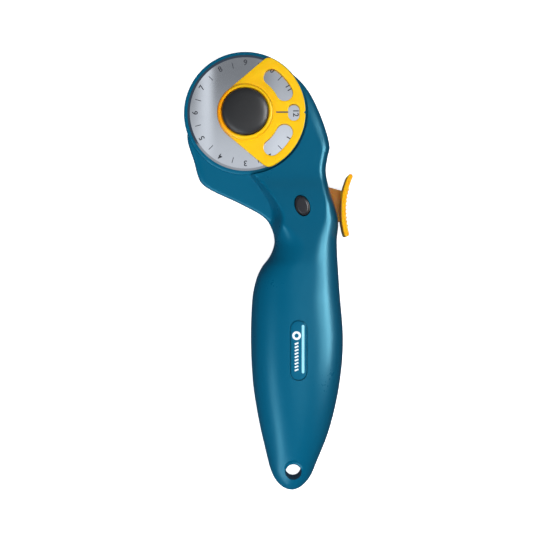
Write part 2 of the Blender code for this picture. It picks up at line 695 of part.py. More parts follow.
def cover_outline():
    """Fan shape: hub arc, straight sides, rounded corners and rim arc."""
    side = math.degrees(COVER_SIDE_SLOPE)
    tangent = 90 + side
    radius = COVER_CORNER_RADIUS
    reach = COVER_RADIUS - radius
    along = COVER_HUB_RADIUS - radius
    swing = math.degrees(math.acos(along / reach))
    upper = tangent - swing
    centre = (reach * math.cos(math.radians(upper)), reach * math.sin(math.radians(upper)))
    mirror = (centre[0], -centre[1])
    notch = [(COVER_RADIUS, -0.7), (COVER_RADIUS - 0.6, 0.0), (COVER_RADIUS, 0.7)]
    return (arc((0, 0), COVER_HUB_RADIUS, tangent, 360 - tangent, 24)
            + arc(mirror, radius, -tangent, -upper, 8)
            + arc((0, 0), COVER_RADIUS, -upper + 2, -2.5, 16) + notch
            + arc((0, 0), COVER_RADIUS, 2.5, upper - 2, 16)
            + arc(centre, radius, upper, tangent, 8))


def window_outline(sign):
    """Kidney window that follows the blade's marks, above or below the index."""
    middle, half, near, far = 17.0, 3.2, sign * 26.5, sign * 53.0
    near_centre = arc((0, 0), middle, near, near, 1)[0]
    far_centre = arc((0, 0), middle, far, far, 1)[0]
    turn = 180 * sign
    return (arc((0, 0), middle + half, near, far, 8) + arc(far_centre, half, far, far + turn, 8)
            + arc((0, 0), middle - half, far, near, 6)
            + arc(near_centre, half, near + turn, near + 2 * turn, 8))


def make_cover():
    """Fan-shaped blade cover with windows and a collar round the knob."""
    index = obround((18.8, -1.05), (18.8, 1.05), 2.2)
    cover = prism("blade_cover", cover_outline(), COVER_Z, COVER_Z + COVER_THICKNESS,
                  [window_outline(1), window_outline(-1), index], "yellow")
    outer, inner, low = COVER_HUB_RADIUS, COLLAR_INNER_RADIUS, COVER_Z + COVER_THICKNESS - 0.6
    join(cover, turned("collar", [
        (inner + 0.5, COLLAR_TOP_Z), (outer - 0.9, COLLAR_TOP_Z - 0.1),
        (outer - 0.3, COLLAR_TOP_Z - 0.7), (outer - 0.1, low), (inner, low),
        (inner, COLLAR_TOP_Z - 0.5)], count=40, closed=True))
    return cut(cover, prism("cover_key", double_flat(AXLE_RADIUS + RUNNING_FIT, AXLE_FLAT + RUNNING_FIT),
                            12.0, 16.0))


def make_spring_washer():
    """Wavy washer that the knob presses on the cover."""
    low = COVER_Z + COVER_THICKNESS + GAP
    high = low + WASHER_THICKNESS
    inner = AXLE_RADIUS + 2 * RUNNING_FIT
    form = bmesh.new()
    rings = [(inner, low), (WASHER_RADIUS, low), (WASHER_RADIUS, high), (inner, high)]
    count = 36
    verts = []
    for i in range(count):
        angle = 2 * math.pi * i / count
        wave = 0.1 * math.sin(3 * angle)
        verts.append([form.verts.new((r * MM * math.cos(angle), r * MM * math.sin(angle),
                                      (z + wave) * MM)) for r, z in rings])
    for here, after in zip(verts, verts[1:] + verts[:1]):
        for i in range(4):
            n = (i + 1) % 4
            form.faces.new((here[i], after[i], after[n], here[n]))
    bmesh.ops.recalc_face_normals(form, faces=form.faces)
    mesh = bpy.data.meshes.new("spring_washer")
    form.to_mesh(mesh)
    form.free()
    return smooth(place("spring_washer", mesh, "steel"))


def make_knob_insert():
    """Threaded brass bush inside the knob."""
    low, high = INSERT_Z, INSERT_Z + INSERT_HEIGHT
    inner = AXLE_RADIUS + RUNNING_FIT
    return turned("knob_insert", [
        (INSERT_RADIUS, high), (INSERT_RADIUS, low), (inner, low), (inner, high)],
        "brass", count=24, closed=True)


def make_knob():
    """Domed knob, hollow below for the washer and the threaded bush."""
    washer_room, insert_room = WASHER_RADIUS + 0.4, INSERT_RADIUS + 0.15
    return turned("knob_cap", [
        (0.0, KNOB_TOP_Z), (3.5, KNOB_TOP_Z - 0.1), (6.2, KNOB_TOP_Z - 0.42),
        (7.8, KNOB_TOP_Z - 1.0), (8.6, KNOB_TOP_Z - 1.7), (KNOB_RADIUS, KNOB_TOP_Z - 2.7),
        (KNOB_RADIUS, KNOB_BOTTOM_Z + 0.3), (KNOB_RADIUS - 0.3, KNOB_BOTTOM_Z),
        (washer_room, KNOB_BOTTOM_Z), (washer_room, INSERT_Z - 0.1), (insert_room, INSERT_Z - 0.1),
        (insert_room, KNOB_TOP_Z - 1.1), (0.0, KNOB_TOP_Z - 1.1)], "black", count=36)


# ------------------------------------------------------- trigger and spring


def paddle_outline():
    """Curved finger plate with grip ribs on its outer, hollow side."""
    cx, cy = PADDLE_CENTRE
    outer = PADDLE_RADIUS + PADDLE_THICKNESS / 2
    inner = PADDLE_RADIUS - PADDLE_THICKNESS / 2

    def angle_at(y):
        return 180 - math.degrees(math.asin((y - cy) / PADDLE_RADIUS))

    start, end = angle_at(PADDLE_BOTTOM_Y), angle_at(PADDLE_TOP_Y)
    tip = PADDLE_THICKNESS / 2
    tips = [arc((cx, cy), PADDLE_RADIUS, a, a, 1)[0] for a in (end, start)]
    rib_step = math.degrees(RIB_PITCH / PADDLE_RADIUS)
    first_rib = start - 1.5 * rib_step
    ribs = []
    for i in range(RIB_COUNT):
        for part, height in ((0.0, 0.0), (0.3, RIB_HEIGHT), (0.7, RIB_HEIGHT)):
            ribs += arc((cx, cy), inner - height, first_rib - (i + part) * rib_step, first_rib, 1)[:1]
    return (arc((cx, cy), outer, end, start, 16)
            + arc(tips[1], tip, start, start + 180, 6)[1:]
            + ribs
            + arc(tips[0], tip, end - 180, end, 6)[:-1])


def lever_outline():
    """Lever plate: hub, arm up to the drive pin and web out to the paddle.

    The arm's left side curves away from the lock shaft that it swings past.
    """
    return (arc(DRIVE_PIN, 2.8, 10, 215, 10)
            + [(25.4, -28.5), (26.6, -30.6), (27.2, -32.6), (27.3, -35.5), (27.8, -39.0)]
            + arc(TRIGGER_PIVOT, TRIGGER_HUB_RADIUS, 170, 300, 8)
            + [(34.2, -43.1), (37.5, -42.0), (37.4, -30.1), (32.6, -28.8), (29.4, -28.2)])


def make_trigger():
    """Trigger lever with its finger paddle."""
    top = TRIGGER_Z + TRIGGER_THICKNESS
    trigger = prism("trigger", paddle_outline(), PADDLE_Z, PADDLE_Z + PADDLE_WIDTH, finish="yellow")
    join(trigger, prism("lever", lever_outline(), TRIGGER_Z, top))
    pivot = Vector((*TRIGGER_PIVOT, 0.0)) * MM
    trigger.data.transform(Matrix.Translation(Vector((0, 0, trigger.location.z)) - pivot))
    trigger.location = pivot
    return cut(trigger,
               cylinder("trigger_bore", TRIGGER_PIN_RADIUS + RUNNING_FIT, 5.0, 15.0,
                        at=TRIGGER_PIVOT, count=24),
               cylinder("drive_bore", DRIVE_PIN_RADIUS + RUNNING_FIT, 5.0, 15.0,
                        at=DRIVE_PIN, count=24))


def make_drive_pin():
    """Headed pin on the trigger's arm that pushes the carrier."""
    top = TRIGGER_Z + TRIGGER_THICKNESS + GAP
    return turned("drive_pin", [
        (0.0, top + 0.7), (1.9, top + 0.7), (2.1, top + 0.5), (2.1, top), (DRIVE_PIN_RADIUS, top),
        (DRIVE_PIN_RADIUS, 5.9), (DRIVE_PIN_RADIUS - 0.3, 5.6), (0.0, 5.6)],
        "steel", DRIVE_PIN, count=24)


def make_trigger_pin():
    """Pin that the trigger turns on, held in both shells."""
    r = TRIGGER_PIN_RADIUS
    return turned("trigger_pin", [
        (0.0, 13.9), (r - 0.3, 13.9), (r, 13.6), (r, 5.9), (r - 0.3, 5.6), (0.0, 5.6)],
        "steel", TRIGGER_PIVOT, count=24)


def make_return_spring():
    """Coil spring that pushes the carrier back, with close end turns."""
    curve = bpy.data.curves.new("return_spring", "CURVE")
    curve.dimensions = "3D"
    curve.bevel_depth = SPRING_WIRE_RADIUS * MM
    curve.bevel_resolution = 2
    curve.use_fill_caps = True
    spline = curve.splines.new("POLY")
    count = SPRING_TURNS * 10
    spline.points.add(count)
    for i, point in enumerate(spline.points):
        t = i / count
        angle = 2 * math.pi * SPRING_TURNS * t
        run = t - 0.045 * math.sin(4 * math.pi * t)
        point.co = ((SPRING_LEFT_X + SPRING_WIRE_RADIUS + run * spring_reach()) * MM,
                    (SPRING_Y + SPRING_RADIUS * math.cos(angle)) * MM,
                    (SPRING_Z + SPRING_RADIUS * math.sin(angle)) * MM, 1.0)
    spring = bpy.data.objects.new("return_spring", curve)
    bpy.data.collections[OBJECT_NAME].objects.link(spring)
    curve.materials.append(material("steel"))
    return spring


def spring_reach():
    """Length between the centres of the spring's end turns."""
    return SPRING_RIGHT_X - SPRING_LEFT_X - 2 * SPRING_WIRE_RADIUS


# --------------------------------------------------------------------- lock


def make_lock_button():
    """Oval push button on a stepped shaft that passes through the carrier."""
    shaft, collar, neck = LOCK_SHAFT_RADIUS, LOCK_COLLAR_RADIUS, LOCK_NECK_RADIUS
    groove = shaft - 0.5
    button = turned("lock_button", [
        (0.0, 17.2), (shaft, 17.2), (shaft, LOCK_RING_Z + 0.55), (groove, LOCK_RING_Z + 0.55),
        (groove, LOCK_RING_Z - 0.55), (shaft, LOCK_RING_Z - 0.55), (shaft, 11.0), (collar, 11.0),
        (collar, 8.6), (neck, 8.6), (neck, 5.0), (shaft - 0.1, 5.0), (shaft - 0.1, 3.5),
        (shaft - 0.5, 3.2), (0.0, 3.2)], "black", LOCK, count=24)
    join(button,
         prism("lock_oval", ellipse(LOCK, LOCK_LONG, LOCK_SHORT, LOCK_TILT), 16.5, LOCK_TOP_Z - 0.4),
         prism("lock_face", ellipse(LOCK, LOCK_LONG - 0.7, LOCK_SHORT - 0.5, LOCK_TILT),
               LOCK_TOP_Z - 1.0, LOCK_TOP_Z))
    return button


def make_lock_ring():
    """Rubber ring in the lock shaft's groove that holds it in either place."""
    inner, minor = LOCK_SHAFT_RADIUS - 0.45, 0.38
    centre = (inner + minor, LOCK_RING_Z)
    return turned("lock_ring", arc(centre, minor, 90, -270, 6)[:-1], "rubber", LOCK,
                  count=20, closed=True)


def build():
    """Clear the scene and make every part."""
    for thing in list(bpy.data.objects):
        bpy.data.objects.remove(thing)
    collection(OBJECT_NAME)
    collection("cutters")
    make_front_shell()
    make_rear_shell()
    make_badge()
    for name, at in (("case_screw_head", HEAD_POST), ("case_screw_neck", NECK_POST),
                     ("case_screw_handle", HANDLE_BOSS), ("case_screw_tail", TAIL_BOSS)):
        make_case_screw(name, at)
    make_carrier()
    make_axle_bolt()
    make_blade_bush()
    make_blade()
    make_cover()
    make_spring_washer()
    make_knob_insert()
    make_knob()
    make_trigger()
    make_drive_pin()
    make_trigger_pin()
    make_return_spring()
    make_lock_button()
    make_lock_ring()


build()
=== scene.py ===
"""Looks of the hand-held rotary paper trimmer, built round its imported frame.

Lengths are in millimetres, and MM turns them into metres where a mesh is made.
The blade turns about Z, the handle runs towards -Y and the finger trigger is
on the +X side. Every piece keeps its place in its mesh.
"""

import logging
from abc import ABC, abstractmethod
from bisect import bisect_right
from collections.abc import Callable, Sequence
from dataclasses import dataclass, field
from enum import Enum
from functools import partialmethod
from math import acos, asin, atan2, cos, degrees, hypot, pi, radians, sin, sqrt

import bmesh
import bpy
from bpy.types import Mesh, Object
from mathutils import Matrix, Vector


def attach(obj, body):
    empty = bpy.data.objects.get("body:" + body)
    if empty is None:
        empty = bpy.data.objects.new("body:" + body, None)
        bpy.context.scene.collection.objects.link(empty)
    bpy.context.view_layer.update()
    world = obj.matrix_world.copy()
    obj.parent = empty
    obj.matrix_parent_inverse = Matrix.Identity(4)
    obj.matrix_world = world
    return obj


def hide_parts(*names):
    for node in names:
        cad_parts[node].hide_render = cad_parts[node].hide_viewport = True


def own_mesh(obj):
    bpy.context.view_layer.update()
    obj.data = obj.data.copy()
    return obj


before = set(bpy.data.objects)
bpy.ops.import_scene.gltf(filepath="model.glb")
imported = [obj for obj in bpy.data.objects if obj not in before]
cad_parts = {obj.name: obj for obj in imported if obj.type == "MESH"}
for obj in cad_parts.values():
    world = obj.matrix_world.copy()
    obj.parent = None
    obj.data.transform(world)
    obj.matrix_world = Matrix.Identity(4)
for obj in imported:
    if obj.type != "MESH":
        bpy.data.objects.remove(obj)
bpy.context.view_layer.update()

MM = 0.001
GAP = 0.3  # between neighbouring pieces
FIT = 0.1  # round pins and screws
WALL = 2.0
PARTING_Z = 9.5
TIP_Y = -147.0
LOFT_TOP_Y = 18.0
TAIL_ROWS = 26  # sections that crowd towards the tail's tip
ABOVE = 40.0  # over every piece, for cutters that open upwards
TRIGGER_PIVOT = (31.0, -42.0)
PIVOT_BORE = 1.35
LOCK_PLACE = (21.9, -36.4)
LOCK_TILT = radians(20.0)
BADGE_PLACE = (20.4, -91.5)
LOG = logging.getLogger("trimmer")

Point2 = tuple[float, float]
Point3 = tuple[float, float, float]
Colour = tuple[float, float, float]
Outline = list[Point2]


class Body(Enum):
    """The bodies of the frame that pieces ride on."""

    CASING = "casing"
    CARRIER = "carrier"
    BLADE = "blade"
    KNOB = "knob"
    TRIGGER = "trigger"
    LOCK = "lock"


class Slot(Enum):
    """The record's material slots, one named with each piece."""

    CASING = "casing"
    BADGE = "badge"
    YELLOW = "yellow"
    KNOB = "knob"
    BUTTON = "button"
    BLADE = "blade"
    FASTENER = "fastener"
    SPRING_STEEL = "spring_steel"


class LampUse(Enum):
    """Whether a lamp lights surfaces, shows in their gloss, or both: (diffuse, glossy)."""

    SHADE = (True, False)
    SHINE = (False, True)
    BOTH = (True, True)


class Grain(Enum):
    """How the mould's wall was finished, which the plastic copies."""

    POLISHED = 0.0015
    SATIN = 0.004
    ERODED = 0.009


# -------- outlines


def arc(centre: Point2, radius: float, start: float, end: float, count: int = 24) -> Outline:
    """Points along an arc in equal steps between two angles in degrees, both ends included."""
    steps = [radians(start + (end - start) * i / count) for i in range(count + 1)]
    return [(centre[0] + radius * cos(a), centre[1] + radius * sin(a)) for a in steps]


def obround(first: Point2, last: Point2, radius: float, count: int = 20) -> Outline:
    """Outline of a slot whose round ends are centred on two points."""
    heading = degrees(atan2(last[1] - first[1], last[0] - first[0]))
    return (arc(last, radius, heading - 90, heading + 90, count)
            + arc(first, radius, heading + 90, heading + 270, count))


def leaning_ellipse(centre: Point2, long_half: float, short_half: float, tilt: float) -> Outline:
    """Outline of an ellipse whose long axis leans from +Y towards -X.

    Args:
        centre: Its centre.
        long_half: Half of its long axis.
        short_half: Half of its short axis.
        tilt: Lean of the long axis, in radians.

    Returns:
        The closed outline.
    """
    points = []
    for along, over in arc((0, 0), 1, 0, 360, 72)[:-1]:
        u, v = along * long_half, over * short_half
        points.append((centre[0] - u * sin(tilt) + v * cos(tilt),
                       centre[1] + u * cos(tilt) + v * sin(tilt)))
    return points


def smoothstep(t: float) -> float:
    """Ease from 0 to 1 while t goes from 0 to 1."""
    t = min(max(t, 0.0), 1.0)
    return t * t * (3.0 - 2.0 * t)


# -------- node trees


class Signal:
    """An output socket that can stand in a Python expression."""

    def __init__(self, graph: "Graph", socket: bpy.types.NodeSocket) -> None:
        """Keep the socket and the tree that it belongs to."""
        self.graph = graph
        self.socket = socket

    def _math(self, operation: str, other: "Signal | float" = 0.0, swapped: bool = False) -> "Signal":
        """Add a Math node on this value and another.

        Args:
            operation: What the node works out.
            other: The other value.
            swapped: True if the other value comes first.

        Returns:
            The node's result.
        """
        first, second = (other, self) if swapped else (self, other)
        return self.graph.node("ShaderNodeMath", {0: first, 1: second}, operation=operation)

    __add__ = partialmethod(_math, "ADD")
    __radd__ = partialmethod(_math, "ADD", swapped=True)
    __sub__ = partialmethod(_math, "SUBTRACT")
    __rsub__ = partialmethod(_math, "SUBTRACT", swapped=True)
    __mul__ = partialmethod(_math, "MULTIPLY")
    __rmul__ = partialmethod(_math, "MULTIPLY", swapped=True)
    sine = partialmethod(_math, "SINE")
    cosine = partialmethod(_math, "COSINE")
    root = partialmethod(_math, "SQRT")
    angle_from = partialmethod(_math, "ARCTAN2")

    def between(self, low: float, high: float) -> "Signal":
        """Ease from 0 at low to 1 at high."""
        return self.graph.node("ShaderNodeMapRange", {"Value": self, "From Min": low, "From Max": high},
                               interpolation_type="SMOOTHSTEP")


class Graph:
    """A node tree, with the one method that adds nodes to it and a few that use it."""

    # Numbers of a Mix node's colour sockets, whose names its other types share.
    MIX_FIRST = 6
    MIX_SECOND = 7
    MIX_RESULT = 2

    def __init__(self, tree: bpy.types.NodeTree) -> None:
        """Keep the tree."""
        self.tree = tree

    def node(self, kind: str, inputs: dict | None = None, output: int | str = 0,
             **settings: str) -> Signal:
        """Add a node.

        Args:
            kind: Type of the node.
            inputs: Values or links of its sockets, by name or number.
            output: Output socket to return.
            settings: Its options, which are set first.

        Returns:
            The chosen output.
        """
        made = self.tree.nodes.new(kind)
        for key, value in settings.items():
            setattr(made, key, value)
        for key, value in (inputs or {}).items():
            if isinstance(value, Signal):
                self.tree.links.new(value.socket, made.inputs[key])
            else:
                made.inputs[key].default_value = value
        return Signal(self, made.outputs[output])

    def vector(self, x: Signal | float, y: Signal | float, z: Signal | float) -> Signal:
        """Put three values together as a vector."""
        return self.node("ShaderNodeCombineXYZ", {0: x, 1: y, 2: z})

    def split(self, vector: Signal) -> tuple[Signal, Signal, Signal]:
        """Take a vector apart."""
        parts = self.node("ShaderNodeSeparateXYZ", {0: vector}).socket.node
        return tuple(Signal(self, parts.outputs[i]) for i in range(3))

    def mix(self, factor: Signal | float, first: Signal | Colour, second: Signal | Colour) -> Signal:
        """Blend from the first colour at factor 0 to the second at 1."""
        opaque = [(*c, 1.0) if isinstance(c, tuple) else c for c in (first, second)]
        return self.node("ShaderNodeMix", {0: factor, self.MIX_FIRST: opaque[0], self.MIX_SECOND: opaque[1]},
                         self.MIX_RESULT, data_type="RGBA")


class ShaderGraph(Graph):
    """Nodes of one material, round its Principled shader."""

    def __init__(self, name: str) -> None:
        """Make the material.

        Args:
            name: Name of the material.
        """
        self.material = bpy.data.materials.new(name)
        self.material.use_nodes = True
        super().__init__(self.material.node_tree)
        self.shader = self.tree.nodes["Principled BSDF"]
        self.place = self.node("ShaderNodeTexCoord", output="Object")

    def noise(self, scale: float, detail: float = 2.0, stretch: Point3 = (1.0, 1.0, 1.0)) -> Signal:
        """Smooth noise from 0 to 1 on Object coordinates, with scale features to the metre."""
        stretched = self.node("ShaderNodeMapping", {"Vector": self.place, "Scale": stretch})
        return self.node("ShaderNodeTexNoise",
                         {"Vector": stretched, "Scale": scale, "Detail": detail, "Roughness": 0.55})

    def bump(self, height: Signal, depth: float) -> Signal:
        """Turn a height from 0 to 1 into a normal, where 1 stands for depth millimetres."""
        return self.node("ShaderNodeBump", {"Strength": 1.0, "Distance": depth * MM, "Height": height})

    def set(self, **sockets: Signal | float | tuple) -> None:
        """Set the shader's sockets, named in snake case."""
        for key, value in sockets.items():
            words = [word.upper() if word == "ior" else word.capitalize() for word in key.split("_")]
            socket = self.shader.inputs[" ".join(words)]
            if isinstance(value, Signal):
                self.tree.links.new(value.socket, socket)
            else:
                socket.default_value = value


class GeometryGraph(Graph):
    """Geometry nodes that make one piece, which is then kept as a plain mesh."""

    def __init__(self, name: str) -> None:
        """Make the tree.

        Args:
            name: Name of the piece.
        """
        super().__init__(bpy.data.node_groups.new(name + "_rule", "GeometryNodeTree"))
        self.name = name
        self.values: dict[str, object] = {}
        self.tree.interface.new_socket("Geometry", in_out="OUTPUT", socket_type="NodeSocketGeometry")
        self.tree.interface.new_socket("Seeds", in_out="INPUT", socket_type="NodeSocketGeometry")
        self.entry = self.tree.nodes.new("NodeGroupInput")
        self.seeds = Signal(self, self.entry.outputs["Seeds"])

    def input(self, name: str, value: float | int | Object) -> Signal:
        """Add a named input.

        Args:
            name: Name of the input.
            value: What the modifier gives it.

        Returns:
            Its socket inside the tree.
        """
        kind = {float: "Float", int: "Int"}.get(type(value), "Object")
        socket = self.tree.interface.new_socket(name, in_out="INPUT", socket_type="NodeSocket" + kind)
        self.values[socket.identifier] = value
        return Signal(self, self.entry.outputs[name])

    def copies(self, points: Signal, shape: Signal, **inputs: Signal) -> Signal:
        """Put a copy of a shape at every point, with its Rotation or Scale among the inputs."""
        return self.node("GeometryNodeInstanceOnPoints",
                         {"Points": points, "Instance": shape, **inputs})

    def bar(self, *sides: Signal | float) -> Signal:
        """Box with three given sides."""
        return self.node("GeometryNodeMeshCube", {"Size": self.vector(*sides)})

    def about_z(self, angle: Signal) -> Signal:
        """Rotation by an angle about Z."""
        return self.node("FunctionNodeAxisAngleToRotation", {"Axis": (0.0, 0.0, 1.0), "Angle": angle})

    def row(self, count: Signal, position: Signal) -> Signal:
        """Points whose places come from their index."""
        line = self.node("GeometryNodeMeshLine", {"Count": count})
        return self.node("GeometryNodeSetPosition", {"Geometry": line, "Position": position})

    def finished(self, geometry: Signal, finish: "Finish", seeds: Mesh | None = None
                 ) -> Object:
        """Run the tree once and keep what it makes.

        Args:
            geometry: The geometry to keep.
            finish: Finish of the piece.
            seeds: Mesh whose points the tree starts from.

        Returns:
            The piece, a plain mesh.
        """
        real = self.node("GeometryNodeRealizeInstances", {"Geometry": geometry})
        dressed = self.node("GeometryNodeSetMaterial",
                            {"Geometry": real, "Material": finish.material()})
        result = self.tree.nodes.new("NodeGroupOutput")
        self.tree.links.new(dressed.socket, result.inputs["Geometry"])
        maker = linked("maker", seeds or bpy.data.meshes.new("seeds"))
        rule = maker.modifiers.new("rule", "NODES")
        rule.node_group = self.tree
        for identifier, value in self.values.items():
            rule[identifier] = value
        mesh = evaluated_mesh(maker)
        maker.modifiers.remove(rule)
        bpy.data.objects.remove(maker)
        return kept(self.name, mesh)


# -------- mesh tools


def linked(name: str, data: bpy.types.ID) -> Object:
    """Make an object and put it in the scene.

    Args:
        name: Name of the object.
        data: Its mesh, curve, light or camera.

    Returns:
        The object.
    """
    thing = bpy.data.objects.new(name, data)
    bpy.context.scene.collection.objects.link(thing)
    return thing


def evaluated_mesh(thing: Object) -> Mesh:
    """Mesh of an object as its modifiers leave it."""
    graph = bpy.context.evaluated_depsgraph_get()
    return bpy.data.meshes.new_from_object(thing.evaluated_get(graph))


def kept(name: str, mesh: Mesh, finish: "Finish | None" = None,
         sharp: float = 32.0) -> Object:
    """Keep a mesh as a finished piece.

    Args:
        name: Name of the piece.
        mesh: Its mesh, in place.
        finish: Its finish, if the mesh has none.
        sharp: Angle over which an edge stays crisp, in degrees.

    Returns:
        The piece.
    """
    mesh.name = name
    mesh.shade_smooth()
    mesh.set_sharp_from_angle(angle=radians(sharp))
    if finish:
        mesh.materials.clear()
        mesh.materials.append(finish.material())
    return linked(name, mesh)


def welded(form: bmesh.types.BMesh, name: str) -> Mesh:
    """Merge doubles, turn faces outwards and make the mesh.

    Args:
        form: The form, which is freed.
        name: Name of the mesh.

    Returns:
        The mesh.
    """
    bmesh.ops.remove_doubles(form, verts=form.verts, dist=1e-7)
    bmesh.ops.recalc_face_normals(form, faces=form.faces)
    mesh = bpy.data.meshes.new(name)
    form.to_mesh(mesh)
    form.free()
    return mesh


def turned(name: str, profile: Sequence[Point2], at: Point2 = (0.0, 0.0), steps: int = 96,
           closed: bool = False) -> Mesh:
    """Turn an (r, z) profile about an upright axis.

    Args:
        name: Name of the mesh.
        profile: Points of the profile.
        at: Place of the axis.
        steps: Steps round it.
        closed: True if the last point joins the first.

    Returns:
        The closed mesh.
    """
    form = bmesh.new()
    rings = []
    for r, z in profile:
        rounds = [(0.0, 0.0)] if r < 1e-6 else arc((0, 0), r, 0, 360, steps)[:-1]
        rings.append([form.verts.new(((at[0] + x) * MM, (at[1] + y) * MM, z * MM)) for x, y in rounds])
    pairs = list(zip(rings, rings[1:])) + ([(rings[-1], rings[0])] if closed else [])
    for upper, lower in pairs:
        for i in range(steps):
            corners = [upper[i % len(upper)], upper[(i + 1) % len(upper)],
                       lower[(i + 1) % len(lower)], lower[i % len(lower)]]
            unique = list(dict.fromkeys(corners))
            if len(unique) > 2:
                form.faces.new(unique)
    return welded(form, name)


def flat_mesh(curve: bpy.types.Curve) -> Mesh:
    """Turn a flat curve or text into a mesh.

    Args:
        curve: The curve, whose name the mesh takes.

    Returns:
        The welded mesh, its faces outwards.
    """
    flat = linked("flat", curve)
    form = bmesh.new()
    form.from_mesh(evaluated_mesh(flat))
    bpy.data.objects.remove(flat)
    return welded(form, curve.name)


def plate(name: str, outline: Outline, low: float, high: float, holes: Sequence[Outline] = (),
          edge: float = 0.0) -> Mesh:
    """Flat plate with holes and rounded edges.

    Args:
        name: Name of the mesh.
        outline: Its outline.
        low: Height of its lower face.
        high: Height of its upper face.
        holes: Outlines of its holes.
        edge: Radius of its edges.

    Returns:
        The closed mesh.
    """
    curve = bpy.data.curves.new(name, "CURVE")
    curve.dimensions = "2D"
    curve.fill_mode = "BOTH"
    curve.extrude = ((high - low) / 2 - edge) * MM
    curve.bevel_depth = edge * MM
    curve.bevel_resolution = 2
    curve.offset = -edge * MM
    for loop in [outline, *holes]:
        spline = curve.splines.new("POLY")
        spline.points.add(len(loop) - 1)
        spline.use_cyclic_u = True
        for point, (x, y) in zip(spline.points, loop):
            point.co = (x * MM, y * MM, 0.0, 1.0)
    mesh = flat_mesh(curve)
    mesh.transform(Matrix.Translation((0, 0, (low + high) / 2 * MM)))
    return mesh


def block(name: str, low: Point3, high: Point3) -> Mesh:
    """Box between two corners.

    Args:
        name: Name of the mesh.
        low: Its lowest corner.
        high: Its highest corner.

    Returns:
        The closed mesh.
    """
    middle, size = (Vector(low) + Vector(high)) / 2 * MM, (Vector(high) - Vector(low)) * MM
    form = bmesh.new()
    bmesh.ops.create_cube(form, size=1.0,
                          matrix=Matrix.Translation(middle) @ Matrix.Diagonal((*size, 1.0)))
    return welded(form, name)


def rod(name: str, radius: float, low: float, high: float, at: Point2 = (0.0, 0.0),
        steps: int = 64) -> Mesh:
    """Upright cylinder between two heights."""
    return turned(name, [(0.0, high), (radius, high), (radius, low), (0.0, low)], at, steps)


class Solid:
    """A closed mesh that others are cut from or joined to."""

    def __init__(self, mesh: Mesh) -> None:
        """Put the mesh in the scene for a while."""
        self.thing = linked(mesh.name, mesh)
        self.tools: list[Solid] = []

    def _combine(self, operation: str, tools: Sequence["Solid | Mesh"]) -> "Solid":
        """Add a boolean for each tool.

        Args:
            operation: Kind of boolean.
            tools: What it works with.

        Returns:
            This solid.
        """
        for tool in tools:
            other = tool if isinstance(tool, Solid) else Solid(tool)
            change = self.thing.modifiers.new(other.thing.name, "BOOLEAN")
            change.operation = operation
            change.object = other.thing
            self.tools.append(other)
        return self

    def cut(self, *tools: "Solid | Mesh") -> "Solid":
        """Take tools away."""
        return self._combine("DIFFERENCE", tools)

    def join(self, *tools: "Solid | Mesh") -> "Solid":
        """Add tools."""
        return self._combine("UNION", tools)

    def discard(self) -> None:
        """Remove the construction objects."""
        for tool in self.tools:
            tool.discard()
        bpy.data.objects.remove(self.thing)

    def finished(self, name: str, finish: "Finish") -> Object:
        """Keep the result as a piece.

        Args:
            name: Name of the piece.
            finish: Its finish.

        Returns:
            The piece.
        """
        form = bmesh.new()
        form.from_mesh(evaluated_mesh(self.thing))
        bmesh.ops.remove_doubles(form, verts=form.verts, dist=1e-7)
        bmesh.ops.dissolve_degenerate(form, edges=form.edges, dist=1e-7)
        mesh = bpy.data.meshes.new(name)
        form.to_mesh(mesh)
        form.free()
        self.discard()
        return kept(name, mesh, finish)


def seat(thing: Object, body: Body, slot: Slot, *nodes: str) -> None:
    """Parent a piece to its body in the frame and hide the CAD nodes that it stands for.

    Args:
        thing: The piece.
        body: Body that it moves with.
        slot: Material slot named for it; not used.
        nodes: CAD nodes that it stands for.
    """
    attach(thing, body.value)
    if nodes:
        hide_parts(*nodes)
    LOG.info("%s rides on %s, %d faces", thing.name, body.value, len(thing.data.polygons))


# -------- finishes


@dataclass(frozen=True)
class Finish(ABC):
    """What a surface is made of and how it was finished."""

    name: str

    def material(self) -> bpy.types.Material:
        """Make the material, or find it if it is made already."""
        if self.name not in bpy.data.materials:
            self.paint(ShaderGraph(self.name))
        return bpy.data.materials[self.name]

    @abstractmethod
    def paint(self, graph: ShaderGraph) -> None:
        """Add the finish's nodes to a new material."""


@dataclass(frozen=True)
class Tone:
    """Painted shade: a darker colour of the same plastic up to a place along one axis, standing in for the
    shade that falls there.
    """

    axis: int
    start: float
    span: float
    colour: Colour


